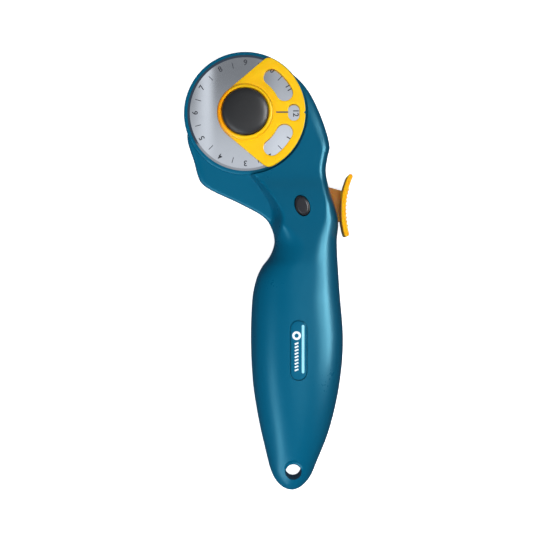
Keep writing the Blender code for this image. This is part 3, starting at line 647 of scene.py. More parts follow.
@dataclass(frozen=True)
class MouldedPlastic(Finish):
    """Injection-moulded plastic: grain of the mould, faint flow, rubbed patches, and painted shade along one
    axis where one is given.
    """

    colour: Colour
    deep_colour: Colour
    roughness: float = 0.4
    grain: Grain = Grain.SATIN
    specular: float = 0.5
    shine: Colour = (1.0, 1.0, 1.0)
    translucency: float = 0.0
    glow: Colour = (1.0, 0.32, 0.04)
    glow_depth: float = 0.002
    # Painted shade along one axis, if any.
    tone: Tone | None = None

    def paint(self, graph: ShaderGraph) -> None:
        """Colour drifts slowly, gloss follows handling, and the grain is in the bump.

        Args:
            graph: Nodes of the material.
        """
        flow = graph.noise(22.0, 2.0, (1.0, 0.45, 1.0))
        speck = graph.noise(900.0, 1.0)
        shade = (0.75 * flow + 0.25 * speck).between(0.15, 0.85)
        rubbed = graph.noise(55.0, 3.0).between(0.2, 0.8)
        scuffs = graph.noise(700.0, 2.0, (1.0, 0.06, 1.0)).between(0.60, 0.90)
        pebble = graph.noise(4200.0, 1.0)
        base = graph.mix(shade, self.colour, self.deep_colour)
        # Painted shade: short of the given place along one axis the colour turns to the shade colour; past
        # runs from 0 in the painted shade to 1 clear of it.
        if self.tone:
            along = graph.split(graph.place)[self.tone.axis]
            past = along.between(self.tone.start * MM, (self.tone.start + self.tone.span) * MM)
            base = graph.mix(past, self.tone.colour, base)
        graph.set(
            base_color=base,
            roughness=self.roughness + 0.05 * speck - 0.05 * rubbed + 0.04 * scuffs,
            normal=graph.bump(pebble, self.grain.value),
            specular_ior_level=self.specular,
            specular_tint=(*self.shine, 1.0),
            subsurface_weight=self.translucency,
            subsurface_radius=self.glow,
            subsurface_scale=self.glow_depth)


@dataclass(frozen=True)
class GroundSteel(Finish):
    """Blade steel, lapped in rings about the blade's axis, with a ground bevel."""

    colour: Colour = (0.80, 0.81, 0.84)
    bevel_colour: Colour = (0.86, 0.87, 0.90)
    oily_colour: Colour = (0.45, 0.46, 0.49)
    shoulder: float = 21.6
    shoulder_blend: float = 0.05
    roughness: float = 0.03

    def paint(self, graph: ShaderGraph) -> None:
        """Lapping lines run round, grinding lines run outwards on the bevel.

        Args:
            graph: Nodes of the material.
        """
        x, y, _ = graph.split(graph.place)
        radius = (x * x + y * y).root()
        angle = y.angle_from(x)
        lapping, grinding = (
            graph.node("ShaderNodeTexNoise", {"Vector": graph.vector(radius * out, angle * around, 0.0),
                                              "Scale": 1.0}, noise_dimensions="2D")
            for out, around in ((9000.0, 5.0), (600.0, 420.0)))
        bevel = radius.between((self.shoulder - self.shoulder_blend) * MM,
                               (self.shoulder + self.shoulder_blend) * MM)
        oil = graph.noise(95.0, 3.0).between(0.5, 0.8)
        lines = lapping * (1.0 - bevel) + grinding * bevel
        bare = graph.mix(bevel, self.colour, self.bevel_colour)
        graph.set(
            base_color=graph.mix(0.12 * lines + 0.10 * oil, bare, self.oily_colour),
            metallic=1.0,
            roughness=self.roughness + 0.02 * lines + 0.015 * oil + 0.04 * bevel,
            normal=graph.bump(lines, 0.00001))


@dataclass(frozen=True)
class TurnedMetal(Finish):
    """Bar stock turned on a lathe, with tool lines and a little tarnish."""

    colour: Colour = (0.62, 0.63, 0.65)
    tarnish: Colour = (0.36, 0.35, 0.34)
    roughness: float = 0.28

    def paint(self, graph: ShaderGraph) -> None:
        """Fine feed lines along Z and patches of tarnish.

        Args:
            graph: Nodes of the material.
        """
        feed = graph.noise(6500.0, 1.0, (0.05, 0.05, 1.0))
        patches = graph.noise(260.0, 3.0).between(0.5, 0.75)
        graph.set(
            base_color=graph.mix(0.35 * patches, self.colour, self.tarnish),
            metallic=1.0,
            roughness=self.roughness + 0.08 * feed + 0.12 * patches,
            normal=graph.bump(feed, 0.0015))


@dataclass(frozen=True)
class Rubber(Finish):
    """Soft black rubber with a dusty bloom."""

    colour: Colour = (0.018, 0.018, 0.018)
    bloom_colour: Colour = (0.07, 0.07, 0.068)

    def paint(self, graph: ShaderGraph) -> None:
        """Bloom lightens the rubber in patches.

        Args:
            graph: Nodes of the material.
        """
        bloom = graph.noise(420.0, 3.0).between(0.5, 0.8)
        graph.set(
            base_color=graph.mix(0.4 * bloom, self.colour, self.bloom_colour),
            roughness=0.72 + 0.12 * bloom,
            normal=graph.bump(graph.noise(3200.0), 0.006),
            sheen_weight=0.15)


@dataclass(frozen=True)
class PrintInk(Finish):
    """Pad-printed or laser-marked ink, thinner in places."""

    colour: Colour
    worn: Colour
    roughness: float = 0.5

    def paint(self, graph: ShaderGraph) -> None:
        """Specks where the ink lies thin.

        Args:
            graph: Nodes of the material.
        """
        thin = graph.noise(2600.0, 2.0).between(0.52, 0.75)
        graph.set(
            base_color=graph.mix(0.5 * thin, self.colour, self.worn),
            roughness=self.roughness + 0.1 * thin,
            normal=graph.bump(thin, 0.002))


TEAL_SHINE = (0.30, 0.85, 1.0)
CASING_TEAL = MouldedPlastic("casing_teal", (0.0010, 0.099, 0.181), (0.0008, 0.089, 0.166), 0.30,
                             shine=TEAL_SHINE)
# Painted shade: the cover and its collar turn orange towards -X, fully below x = -9.8 mm, for the collar's
# shaded left side.
COVER_YELLOW = MouldedPlastic("cover_yellow", (0.97, 0.55, 0.010), (0.96, 0.52, 0.008), 0.30,
                              Grain.POLISHED, 0.5, (1.0, 0.95, 0.3), 0.25,
                              tone=Tone(0, -9.8, 8.5, (0.97, 0.33, 0.003)))
# Painted shade: the lever plate and web, short of x = 36.9 mm, are painted brown for the shadow they lie in
# beside the handle; the paddle stays yellow.
TRIGGER_YELLOW = MouldedPlastic("trigger_yellow", (0.97, 0.46, 0.006), (0.96, 0.42, 0.005), 0.34,
                                Grain.POLISHED, 0.4, (1.0, 0.85, 0.4), 0.65,
                                tone=Tone(0, 36.9, 0.5, (0.42, 0.17, 0.045)))
KNOB_BLACK = MouldedPlastic("knob_black", (0.026, 0.0255, 0.026), (0.021, 0.0205, 0.021), 0.42,
                            Grain.ERODED, 0.4)
# Painted shade: below z = 18.5 mm the button is painted near black, for the shadowed rim round its face.
LOCK_BLACK = MouldedPlastic("lock_black", (0.021, 0.0205, 0.024), (0.018, 0.0175, 0.021), 0.30,
                            tone=Tone(2, 18.5, 0.1, (0.002, 0.002, 0.003)))
CARRIER_ACETAL = MouldedPlastic("carrier_acetal", (0.35, 0.36, 0.38), (0.31, 0.32, 0.34), 0.42,
                                specular=0.45, translucency=0.1, glow=(0.6, 0.6, 0.7))
BADGE_TEAL = MouldedPlastic("badge_teal", (0.0014, 0.104, 0.192), (0.0011, 0.094, 0.176), 0.3,
                            Grain.POLISHED, 0.35, TEAL_SHINE)
BLADE_STEEL = GroundSteel("blade_steel")
PIN_STEEL = TurnedMetal("pin_steel")
SPRING_STEEL = TurnedMetal("spring_steel", (0.50, 0.50, 0.52), (0.26, 0.24, 0.22), 0.24)
SCREW_STEEL = TurnedMetal("screw_steel", (0.58, 0.58, 0.60), (0.40, 0.39, 0.36), 0.30)
BUSH_BRASS = TurnedMetal("bush_brass", (0.72, 0.52, 0.22), (0.42, 0.27, 0.11), 0.26)
RING_RUBBER = Rubber("ring_rubber")
DIAL_INK = PrintInk("dial_ink", (0.030, 0.032, 0.040), (0.11, 0.115, 0.13))
INDEX_INK = PrintInk("index_ink", (0.020, 0.026, 0.080), (0.10, 0.09, 0.08))
MARK_WHITE = PrintInk("mark_white", (0.86, 0.93, 0.96), (0.62, 0.78, 0.86), 0.4)
STRIPE_CYAN = PrintInk("stripe_cyan", (0.33, 0.72, 0.84), (0.24, 0.60, 0.76), 0.35)


# -------- casing


class AlongCurve:
    """A smooth value along the handle, through (y, value) points.

    It is worked out over the square root of the distance from the tail's
    tip, so that an outline closes round there.
    """

    def __init__(self, *points: Point2) -> None:
        """Work out the slopes.

        Args:
            points: The (y, value) points, from tail to head.
        """
        self.marks = [sqrt(y - TIP_Y) for y, _ in points]
        self.values = [value for _, value in points]
        last = len(points) - 1
        self.slopes = []
        for i in range(last + 1):
            low, high = max(i - 1, 0), min(i + 1, last)
            self.slopes.append((self.values[high] - self.values[low])
                               / (self.marks[high] - self.marks[low]))

    def __call__(self, y: float) -> float:
        """Value at a place.

        Args:
            y: The place.

        Returns:
            The value there, or at the nearer end.
        """
        marks, values, slopes = self.marks, self.values, self.slopes
        mark = min(max(sqrt(max(y - TIP_Y, 0.0)), marks[0]), marks[-1])
        i = min(max(bisect_right(marks, mark) - 1, 0), len(marks) - 2)
        span = marks[i + 1] - marks[i]
        t = (mark - marks[i]) / span
        return (values[i] * (1 + 2 * t) * (1 - t) ** 2 + values[i + 1] * t * t * (3 - 2 * t)
                + slopes[i] * span * t * (1 - t) ** 2 - slopes[i + 1] * span * t * t * (1 - t))


RIGHT_EDGE = AlongCurve(
    (TIP_Y, 18.0), (-142, 25.1), (-135, 28.2), (-122, 33.1), (-105, 36.8), (-88, 38.1),
    (-67, 36.6), (-50, 35.7), (-42, 36.25), (-36.5, 35.0), (-29, 32.6), (-22.5, 31.4),
    (-17, 32.1), (-13.3, 32.9), (-8, 31.9), (0, 29.1), (8, 25.2), (13, 21.3), (LOFT_TOP_Y, 15.5))
LEFT_EDGE = AlongCurve(
    (TIP_Y, 18.0), (-142, 11.1), (-130, 7.5), (-116, 4.5), (-104, 2.8), (-87, 2.1), (-72, 2.7),
    (-65, 4.1), (-60, 6.3), (-55.5, 9.6), (-50, 11.3), (-44, 9.8), (-40, 6.6), (-35, -2.5),
    (-30, -13.2), (-27.5, -16.9), (-25, -18.4), (-20, -19.8), (-6.6, -22.6), (6, -14.0),
    (LOFT_TOP_Y, 8.0))


class BodyHalf(ABC):
    """One half of the body, lofted through sections across the handle."""

    side = 1
    base_z = 0.0
    power = 2.1
    least_roll = 1.5
    crease_foot = AlongCurve((-60, -2), (-50, 5.5), (-46, 8), (-42, 9.6), (-38, 9.8), (-34, 8.3),
                             (-29, 5.2), (-25, 2), (-20, -2), (LOFT_TOP_Y, -6))
    crease_width = AlongCurve((-60, 7), (-42, 5.5), (-34, 3.5), (-25, 2.5), (LOFT_TOP_Y, 2.5))
    spread = AlongCurve((TIP_Y, 0.33), (-62, 0.33), (-54, 0.22), (-47, 0.1), (-42, 0.04),
                        (-30, 0.02), (LOFT_TOP_Y, 0.02))

    def edge_rise(self, distance: float, roll: float) -> float:
        """Height fraction at a distance in from an edge that rolls over by roll."""
        reach = min(max(distance / roll, 0.0), 1.0)
        return (1.0 - (1.0 - reach) ** self.power) ** (1.0 / self.power)

    def edges(self, y: float, inset: float = 0.0) -> Point2:
        """Ends of the section at y.

        Args:
            y: Place of the section.
            inset: How far they are moved in, square to the outline.

        Returns:
            The left and the right end.
        """
        step = 0.2
        left_slope = (LEFT_EDGE(y + step) - LEFT_EDGE(y - step)) / (2 * step)
        right_slope = (RIGHT_EDGE(y + step) - RIGHT_EDGE(y - step)) / (2 * step)
        return (LEFT_EDGE(y) + inset * hypot(1, left_slope),
                RIGHT_EDGE(y) - inset * hypot(1, right_slope))

    @abstractmethod
    def rise(self, y: float, inset: float = 0.0) -> Callable[[float], float]:
        """Height over the parting face across one section.

        Args:
            y: Place of the section.
            inset: How far inside the outer face it lies.

        Returns:
            The height as a function of x.
        """

    def face_z(self, x: float, y: float) -> float:
        """Height of the outer face at a point."""
        return self.base_z + self.side * self.rise(y)(x)

    def across(self, y: float, left: float, right: float, count: int) -> list[float]:
        """Rising x positions across a section, some of them along the crease.

        Args:
            y: Place of the section.
            left: Its left end.
            right: Its right end.
            count: Number of steps.

        Returns:
            The positions.
        """
        width = right - left
        foot = min(max(self.crease_foot(y), left + self.spread(y) * width), right - 0.6 * width)
        head = max(min(foot + self.crease_width(y), right - 0.5 * width),
                   foot + 0.5 * self.spread(y) * width)
        marks, foot_share, head_share = [], 0.3, 0.5
        for i in range(count + 1):
            t = i / count
            if t < foot_share:
                marks.append(left + (foot - left) * (1 - cos(pi / 2 * t / foot_share)))
            elif t <= head_share:
                marks.append(foot + (head - foot) * (t - foot_share) / (head_share - foot_share))
            else:
                marks.append(head + (right - head) * sin(pi * (t - head_share)))
        return marks

    def loft(self, name: str, rows: Sequence[float], count: int, inset: float = 0.0,
             skirt: float = 0.0) -> Mesh:
        """Closed mesh of this half.

        Args:
            name: Name of the mesh.
            rows: Rising y positions of its sections.
            count: Steps across each section.
            inset: How far inside the outer face it lies.
            skirt: How far it reaches past the parting face.

        Returns:
            The mesh.
        """
        form = bmesh.new()
        rings = []
        for y in rows:
            left, right = self.edges(y, inset)
            rise = self.rise(y, inset)
            section = [(x, y, self.base_z + self.side * rise(x))
                       for x in self.across(y, left, right, count)]
            if skirt:
                section += [(right, y, self.base_z - self.side * skirt),
                            (left, y, self.base_z - self.side * skirt)]
            rings.append([form.verts.new(Vector(point) * MM) for point in section])
        for low, high in zip(rings, rings[1:]):
            for i in range(len(low)):
                n = (i + 1) % len(low)
                form.faces.new((low[i], low[n], high[n], high[i]))
        form.faces.new(rings[0])
        form.faces.new(rings[-1])
        return welded(form, name)


class FrontHalf(BodyHalf):
    """Front of the body: a low cheek beside the head and a crowned handle."""

    side = 1
    base_z = PARTING_Z + GAP / 2
    cheek_rise = 1.5
    cheek_roll = 3.0
    crown = AlongCurve((TIP_Y, 0.0), (-143, 5.2), (-139, 7.4), (-130, 9.8), (-112, 12.4),
                       (-92, 13.3), (-60, 12.6), (-50, 11.0), (-42, 9.6), (-36, 8.7), (-30, 7.6),
                       (-25, 6.4), (-14, 5.3), (0, 4.2), (10, 3.1), (LOFT_TOP_Y, 1.8))
    right_roll = AlongCurve((TIP_Y, 18), (-75, 18), (-60, 13), (-48, 9), (-40, 6), (-34, 4),
                            (-16, 3.5), (-6, 6), (LOFT_TOP_Y, 7))
    left_roll = AlongCurve((TIP_Y, 18), (-75, 18), (-62, 14), (-52, 12), (-46, 8), (-42, 4.6),
                           (-30, 4), (LOFT_TOP_Y, 4))

    def rise(self, y: float, inset: float = 0.0) -> Callable[[float], float]:
        """The handle's crown, which eases down to the cheek over the crease.

        Args:
            y: Place of the section.
            inset: How far inside the outer face it lies.

        Returns:
            The height as a function of x.
        """
        left, right = self.edges(y, inset)
        half = (right - left) / 2
        left_roll, right_roll = (min(max(roll(y) - inset, self.least_roll), half)
                                 for roll in (self.left_roll, self.right_roll))
        crown, width = self.crown(y) - inset, self.crease_width(y)
        foot = self.crease_foot(y) + 0.8 * inset

        def height(x: float) -> float:
            """Height at x."""
            handle = crown * self.edge_rise(x - left, left_roll)
            cheek = (self.cheek_rise - inset) * self.edge_rise(x - left, self.cheek_roll)
            return (cheek + (handle - cheek) * smoothstep((x - foot) / width)) * self.edge_rise(
                right - x, right_roll)

        return height


class RearHalf(BodyHalf):
    """Rear of the body, flat behind the head and rounded along the handle."""

    side = -1
    base_z = PARTING_Z - GAP / 2
    head_flat = 23.0
    crown = AlongCurve((TIP_Y, 0.0), (-143, 3.8), (-139, 5.4), (-130, 7.2), (-115, 9.0),
                       (-100, 9.7), (-78, 9.7), (-62, 8.9), (-50, 7.2), (-42, 6.35), (-36, 6.35),
                       (-28, 7.4), (-18, 8.85), (LOFT_TOP_Y, 8.85))
    roll = AlongCurve((TIP_Y, 18), (-75, 18), (-60, 12), (-48, 7), (-40, 4.5), (LOFT_TOP_Y, 4.5))

    def rise(self, y: float, inset: float = 0.0) -> Callable[[float], float]:
        """Depth under the parting face, flat where it reaches the back.

        Args:
            y: Place of the section.
            inset: How far inside the outer face it lies.

        Returns:
            The depth as a function of x.
        """
        left, right = self.edges(y, inset)
        roll = min(max(self.roll(y) - inset, self.least_roll), (right - left) / 2)
        crown, floor = self.crown(y) - inset, self.base_z - inset

        def depth(x: float) -> float:
            """Depth at x."""
            return min(crown * self.edge_rise(x - left, roll) * self.edge_rise(right - x, roll), floor)

        return depth

    def face_z(self, x: float, y: float) -> float:
        """Height of the outer face at a point, with the flat head round the blade's axis."""
        return 0.0 if hypot(x, y) < self.head_flat else super().face_z(x, y)


def rows(bottom: float, *runs: tuple[float, int]) -> list[float]:
    """Places of the sections, which crowd towards the tail's tip.

    Args:
        bottom: Where the crowded sections end.
        runs: (end, count) of each evenly spaced run after them.

    Returns:
        The rising y positions.
    """
    reach, first = sqrt(bottom - TIP_Y), 0.35
    places = [TIP_Y + (reach * (i + first) / (TAIL_ROWS + first)) ** 2 for i in range(TAIL_ROWS)]
    places.append(bottom)
    for end, count in runs:
        start = places[-1]
        places += [start + (end - start) * (i + 1) / count for i in range(count)]
    return places


@dataclass
class Screws:
    """The cross-head screws in the rear shell."""

    places: dict[str, tuple[Point2, float]] = field(default_factory=lambda: {
        "case_screw_head": ((-2.5, 14.0), 9.2), "case_screw_neck": ((13.0, -25.0), 12.3),
        "case_screw_handle": ((20.0, -66.0), 14.5), "case_screw_tail": ((19.0, -122.0), 14.5)})
    radius: float = 1.2
    head_radius: float = 2.2
    head_height: float = 1.6
    head_round: float = 0.7
    recess: tuple[Point2, ...] = ((1.25, 0.28), (0.28, 1.25))
    recess_depth: float = 0.9
    seat_depth: float = 2.4
    clearance: float = 0.15

    def head(self) -> Object:
        """Pan head with a cross recess, its seat at the origin."""
        top = -self.head_height
        dome = arc((self.head_radius - self.head_round, top + self.head_round), self.head_round, -90, 0, 6)
        head = Solid(turned("screw_head", [(0.0, top), *dome, (self.head_radius, 0.0), (0.0, 0.0)],
                            steps=48))
        for half_x, half_y in self.recess:
            head.cut(block("recess", (-half_x, -half_y, -3.0), (half_x, half_y, top + self.recess_depth)))
        return head.finished("screw_head", SCREW_STEEL)

    def shank(self) -> Object:
        """Threaded shank of unit length from the origin upwards."""
        turns, ridge = 9, 0.12
        profile = [(0.0, 0.0)]
        for i in range(turns):
            profile += [(self.radius - ridge, (i + 0.05) / turns), (self.radius, (i + 0.5) / turns)]
        profile += [(0.5, 1.0), (0.0, 1.0)]
        return kept("screw_shank", turned("screw_shank", profile, steps=24), SCREW_STEEL)

    def build(self) -> None:
        """Put a screw at every boss and tell the frame."""
        rear = RearHalf()
        seeds = bpy.data.meshes.new("seeds")
        seats = [(*at, rear.face_z(*at) + self.seat_depth - self.clearance)
                 for at, _ in self.places.values()]
        seeds.from_pydata([Vector(point) * MM for point in seats], [], [])
        lengths = seeds.attributes.new("shank_length", "FLOAT", "POINT")
        for item, (_, _, low), (_, tip) in zip(lengths.data, seats, self.places.values()):
            item.value = tip - low
        graph = GeometryGraph("case_screws")
        sources = {"Head": self.head(), "Shank": self.shank()}
        head, shank = (graph.node("GeometryNodeObjectInfo", {"Object": graph.input(name, thing)}, "Geometry")
                       for name, thing in sources.items())
        length = graph.node("GeometryNodeInputNamedAttribute", {"Name": "shank_length"}, "Attribute",
                            data_type="FLOAT")
        both = graph.node("GeometryNodeJoinGeometry")
        for part in (graph.copies(graph.seeds, head),
                     graph.copies(graph.seeds, shank, Scale=graph.vector(1.0, 1.0, length))):
            graph.tree.links.new(part.socket, both.socket.node.inputs[0])
        screws = graph.finished(both, SCREW_STEEL, seeds)
        for thing in sources.values():
            bpy.data.objects.remove(thing)
        seat(screws, Body.CASING, Slot.FASTENER, *self.places)


@dataclass
class Casing:
    """The two shells, with every hole and seat that they need."""

    head_radius: float = 24.0
    deck_z: float = 12.0
    deck_thickness: float = 2.0
    front_round: float = 0.8
    rear_round: float = 1.2
    travel: float = 5.0
    hub_radius: float = 7.0
    post_radius: float = 3.0
    pad_radius: float = 3.6
    boss_radius: float = 2.6
    trigger_slot: tuple[Point2, Point2] = ((28.0, -43.6), (40.0, -28.0))
    spring_rib: tuple[Point3, Point3] = ((-21.5, -9.0, 1.5), (-19.4, -3.0, 9.2))
    slot_z: float = 9.0
    pivot_front_z: Point2 = (11.9, 14.2)
    pivot_rear_z: Point2 = (5.3, 8.3)
    lock_guide: Point2 = (5.5, 4.2)
    lock_guide_z: Point2 = (12.0, 16.4)
    lock_window: Point2 = (4.25, 2.95)
    lock_window_z: float = 13.9
    lock_bore: float = 2.7
    lock_hole: float = 2.3
    hang_hole: Point2 = (18.6, -139.0)
    hang_radius: float = 3.0
    hang_rim: float = 1.15
    screws: Screws = field(default_factory=Screws)
    front: FrontHalf = field(default_factory=FrontHalf)
    rear: RearHalf = field(default_factory=RearHalf)

    def hollow(self, half: BodyHalf, name: str) -> Mesh:
        """Space inside one half of the body, which opens past the parting face."""
        marks = rows(-131.0, (-66.0, 20), (-46.0, 12), (-24.0, 22), (LOFT_TOP_Y - 3, 16))[TAIL_ROWS:]
        return half.loft(name, marks, 30, WALL, 1.5)

    def trigger_gap(self, low: float, high: float) -> Mesh:
        """Opening in the side that the trigger's plate moves in."""
        near, far = self.trigger_slot
        return block("trigger_slot", (*near, low), (*far, high))

    def hang_cutter(self, name: str, half: BodyHalf) -> Mesh:
        """Bore with a rounded mouth that opens the hang hole on one side.

        Args:
            name: Name of the mesh.
            half: The half of the body that it opens.

        Returns:
            The mesh to cut with.
        """
        face, side, lip = half.face_z(*self.hang_hole), half.side, self.hang_rim
        mouth = [(0.0, face + side * 5), (self.hang_radius + lip + 3.4, face + side * 5)]
        mouth += [(self.hang_radius + lip * (1 - cos(radians(a))),
                   face - side * lip * 1.5 * (1 - sin(radians(a))) + side * 0.15)
                  for a in range(90, -1, -10)]
        mouth += [(self.hang_radius, PARTING_Z - side), (0.0, PARTING_Z - side)]
        return turned(name, mouth, self.hang_hole, 72)

    def build_front(self) -> Object:
        """Front shell: pocket, deck, guide posts, lock guide and recesses."""
        front, r, deck, base = self.front, self.head_radius, self.deck_z, self.front.base_z
        marks = rows(-132.0, (-66.0, 60), (-46.0, 34), (-24.0, 62), (LOFT_TOP_Y, 54))
        shell = Solid(front.loft("front_body", marks, 96))
        rim = arc((r - self.front_round, deck - self.front_round), self.front_round, 90, 0, 6)
        shell.cut(rod("blade_pocket", r + GAP, deck - 0.5, ABOVE, steps=180))
        shell.join(turned("head_front", [(0.0, deck), *rim, (r, base), (0.0, base)], steps=180))
        under = deck - self.deck_thickness
        shell.cut(Solid(self.hollow(front, "front_hollow")).cut(
            rod("pocket_wall", r + GAP + WALL, under, ABOVE, steps=96)))
        shell.cut(rod("head_hollow", r - WALL, base - 1, under, steps=96),
                  plate("hub_slot", obround((-self.travel, 0.0), (0.0, 0.0), self.hub_radius + GAP),
                        self.slot_z, deck + 1.0),
                  self.trigger_gap(self.slot_z, deck))
        for name, (at, tip) in self.screws.places.items():
            low = self.rear.face_z(*at) + self.screws.seat_depth + 1.5 if at[1] > -30 else base + 0.1
            top = under + 0.5 if at[1] > 0 else front.face_z(*at) - 1.0
            shell.join(rod(name + "_post", self.post_radius, low, top, at, 40))
            shell.cut(rod(name + "_hole", self.screws.radius + FIT, low - 1, tip + 0.5, at, 24))
        foot, top = self.pivot_front_z
        skin = front.face_z(TRIGGER_PIVOT[0] + self.boss_radius, TRIGGER_PIVOT[1]) - 0.8
        shell.join(rod("pivot_boss", self.boss_radius, foot, skin, TRIGGER_PIVOT, 40),
                   plate("lock_guide", leaning_ellipse(LOCK_PLACE, *self.lock_guide, LOCK_TILT),
                         *self.lock_guide_z))
        shell.cut(rod("pivot_hole", PIVOT_BORE, foot - 0.9, top, TRIGGER_PIVOT, 32),
                  plate("lock_window", leaning_ellipse(LOCK_PLACE, *self.lock_window, LOCK_TILT),
                        self.lock_window_z, ABOVE),
                  rod("lock_bore", self.lock_bore, 11.0, 15.0, LOCK_PLACE),
                  plate("badge_recess", Badge.outline(0.0), Badge.low - GAP, ABOVE),
                  self.hang_cutter("hang_front", front))
        return shell.finished("casing_front", CASING_TEAL)

    def build_rear(self) -> Object:
        """Rear shell: flat head back, screw seats, spring rib and bosses."""
        rear, r, base = self.rear, self.head_radius, self.rear.base_z
        marks = rows(-132.0, (-66.0, 50), (-46.0, 24), (-24.0, 40), (LOFT_TOP_Y, 30))
        shell = Solid(rear.loft("rear_body", marks, 72))
        rim = arc((r - self.rear_round, self.rear_round), self.rear_round, 0, -90, 6)
        shell.join(turned("head_rear", [(0.0, base), (r, base), *rim, (0.0, 0.0)], steps=180))
        shell.cut(self.hollow(rear, "rear_hollow"),
                  rod("head_hollow", r - WALL, WALL, PARTING_Z + 1, steps=96),
                  self.trigger_gap(8.2, 10.0))
        shell.join(block("spring_rib", *self.spring_rib),
                   rod("pivot_boss", self.boss_radius, 4.0, self.pivot_rear_z[1], TRIGGER_PIVOT, 40))
        for name, (at, _) in self.screws.places.items():
            low = rear.face_z(*at)
            sunk = low + self.screws.seat_depth
            top = sunk + 1.2 if at[1] > -30 else base - 0.1
            shell.join(rod(name + "_pad", self.pad_radius, low + 1.0, top, at, 40))
            shell.cut(rod(name + "_hole", self.screws.radius + FIT, low - 1, top + 1, at, 24),
                      rod(name + "_sink", self.screws.head_radius + GAP, low - 2, sunk, at, 48))
        shell.cut(rod("pivot_hole", PIVOT_BORE, self.pivot_rear_z[0], self.slot_z, TRIGGER_PIVOT, 32),
                  rod("lock_hole", self.lock_hole, 1.0, 7.0, LOCK_PLACE),
                  self.hang_cutter("hang_rear", rear))
        return shell.finished("casing_rear", CASING_TEAL)

    def build(self) -> None:
        """Make both shells and tell the frame."""
        seat(self.build_front(), Body.CASING, Slot.CASING, "front_shell")
        seat(self.build_rear(), Body.CASING, Slot.CASING, "rear_shell")


@dataclass
class Badge:
    """Name plate in the handle's recess, with a plain wheel and dashes for a mark."""

    stripe_x: float = 22.05
    stripe_half: float = 8.7
    mark_x: float = 19.6

    low = 22.0
    high = 22.6
    half_width = 3.3
    half_straight = 8.2

    @classmethod
    def outline(cls, margin: float) -> Outline:
        """Outline of the plate, moved in by a margin."""
        x, y = BADGE_PLACE
        return obround((x, y - cls.half_straight), (x, y + cls.half_straight), cls.half_width - margin, 36)

    def dashes(self) -> Object:
        """A cut line of slanted dashes below the wheel."""
        graph = GeometryGraph("badge_dashes")
        pitch, first = graph.input("Pitch", 1.25 * MM), graph.input("First", (BADGE_PLACE[1] + 2.6) * MM)
        place = graph.vector(self.mark_x * MM, first - graph.node("GeometryNodeInputIndex") * pitch,
                             (self.high + 0.02) * MM)
        dash = graph.bar(graph.input("Width", 1.5 * MM), graph.input("Thickness", 0.6 * MM), 0.06 * MM)
        points = graph.row(graph.input("Count", 9), place)
        slant = graph.about_z(graph.input("Slant", 0.42))
        return graph.finished(graph.copies(points, dash, Rotation=slant), MARK_WHITE)

    def build(self) -> None:
        """Make the plate, its stripe and its mark."""
        y, top, hub = BADGE_PLACE[1], self.high, (self.mark_x, BADGE_PLACE[1] + 5.6)
        panel = plate("badge_panel", self.outline(GAP), self.low, top, edge=0.2)
        seat(kept("badge_panel", panel, BADGE_TEAL), Body.CASING, Slot.BADGE, "badge_plate")
        ends = ((self.stripe_x, y + 0.5 + sign * self.stripe_half) for sign in (-1, 1))
        stripe = plate("badge_stripe", obround(*ends, 0.5), top - 0.05, top + 0.06, edge=0.03)
        wheel = plate("badge_wheel", arc(hub, 1.65, 0, 360, 48)[:-1], top - 0.05, top + 0.05,
                      [arc(hub, 0.8, 0, 360, 32)[:-1]])
        for name, mesh, finish in (("badge_stripe", stripe, STRIPE_CYAN), ("badge_wheel", wheel, MARK_WHITE)):
            seat(kept(name, mesh, finish), Body.CASING, Slot.BADGE)
        seat(self.dashes(), Body.CASING, Slot.BADGE)


# -------- blade, guard


@dataclass
class Blade:
    """Round blade with its printed dial."""

    radius: float = 22.5
    bore: float = 4.05
    low: float = 12.35
    high: float = 12.65
    shoulder: float = 21.6
    numeral_radius: float = 19.5
    numeral_size: float = 3.05
    numeral_weight: float = 0.05
    tick_radius: float = 19.0
    tick_size: Point2 = (2.3, 0.27)
    ink: float = 0.012

    def disc(self) -> Object:
        """The blade, ground on both faces."""
        middle = (self.low + self.high) / 2
        return kept("blade_disc", turned("blade_disc", [
            (self.bore + 0.05, self.high), (self.shoulder, self.high), (self.radius, middle + 0.01),
            (self.radius, middle - 0.01), (self.shoulder, self.low), (self.bore + 0.05, self.low),
            (self.bore, self.low + 0.05), (self.bore, self.high - 0.05)], steps=240, closed=True),
            BLADE_STEEL, sharp=5.0)

    def numerals(self) -> Object:
        """Numbers 1 to 12 round the rim, their tops outwards."""
        form = bmesh.new()
        for hour in range(1, 13):
            curve = bpy.data.curves.new("numeral", "FONT")
            curve.body = str(hour)
            curve.size = self.numeral_size * MM
            curve.offset = self.numeral_weight * MM
            curve.align_x = curve.align_y = "CENTER"
            curve.extrude = self.ink * MM
            curve.resolution_u = 4
            mesh = flat_mesh(curve)
            mesh.transform(Matrix.Rotation(radians(-30 * hour), 4, "Z") @ Matrix.Translation(
                (self.numeral_radius * MM, 0.0, self.high * MM)) @ Matrix.Rotation(-pi / 2, 4, "Z"))
            form.from_mesh(mesh)
        return kept("dial_numerals", welded(form, "dial_numerals"), DIAL_INK)

    def ticks(self) -> Object:
        """Half-way marks between the numbers."""
        graph = GeometryGraph("dial_ticks")
        count, radius = graph.input("Count", 12), graph.input("Radius", self.tick_radius * MM)
        angle = (graph.node("GeometryNodeInputIndex") + 0.5) * (2 * pi / 12)
        place = graph.vector(angle.cosine() * radius, angle.sine() * radius, self.high * MM)
        length, width = (graph.input(name, size * MM)
                         for name, size in zip(("Length", "Width"), self.tick_size))
        bar = graph.bar(length, width, 2 * self.ink * MM)
        return graph.finished(graph.copies(graph.row(count, place), bar, Rotation=graph.about_z(angle)),
                              DIAL_INK)

    def build(self) -> None:
        """Make the blade and its dial."""
        seat(self.disc(), Body.BLADE, Slot.BLADE, "cutter_blade")
        seat(self.numerals(), Body.BLADE, Slot.BLADE)
        seat(self.ticks(), Body.BLADE, Slot.BLADE)


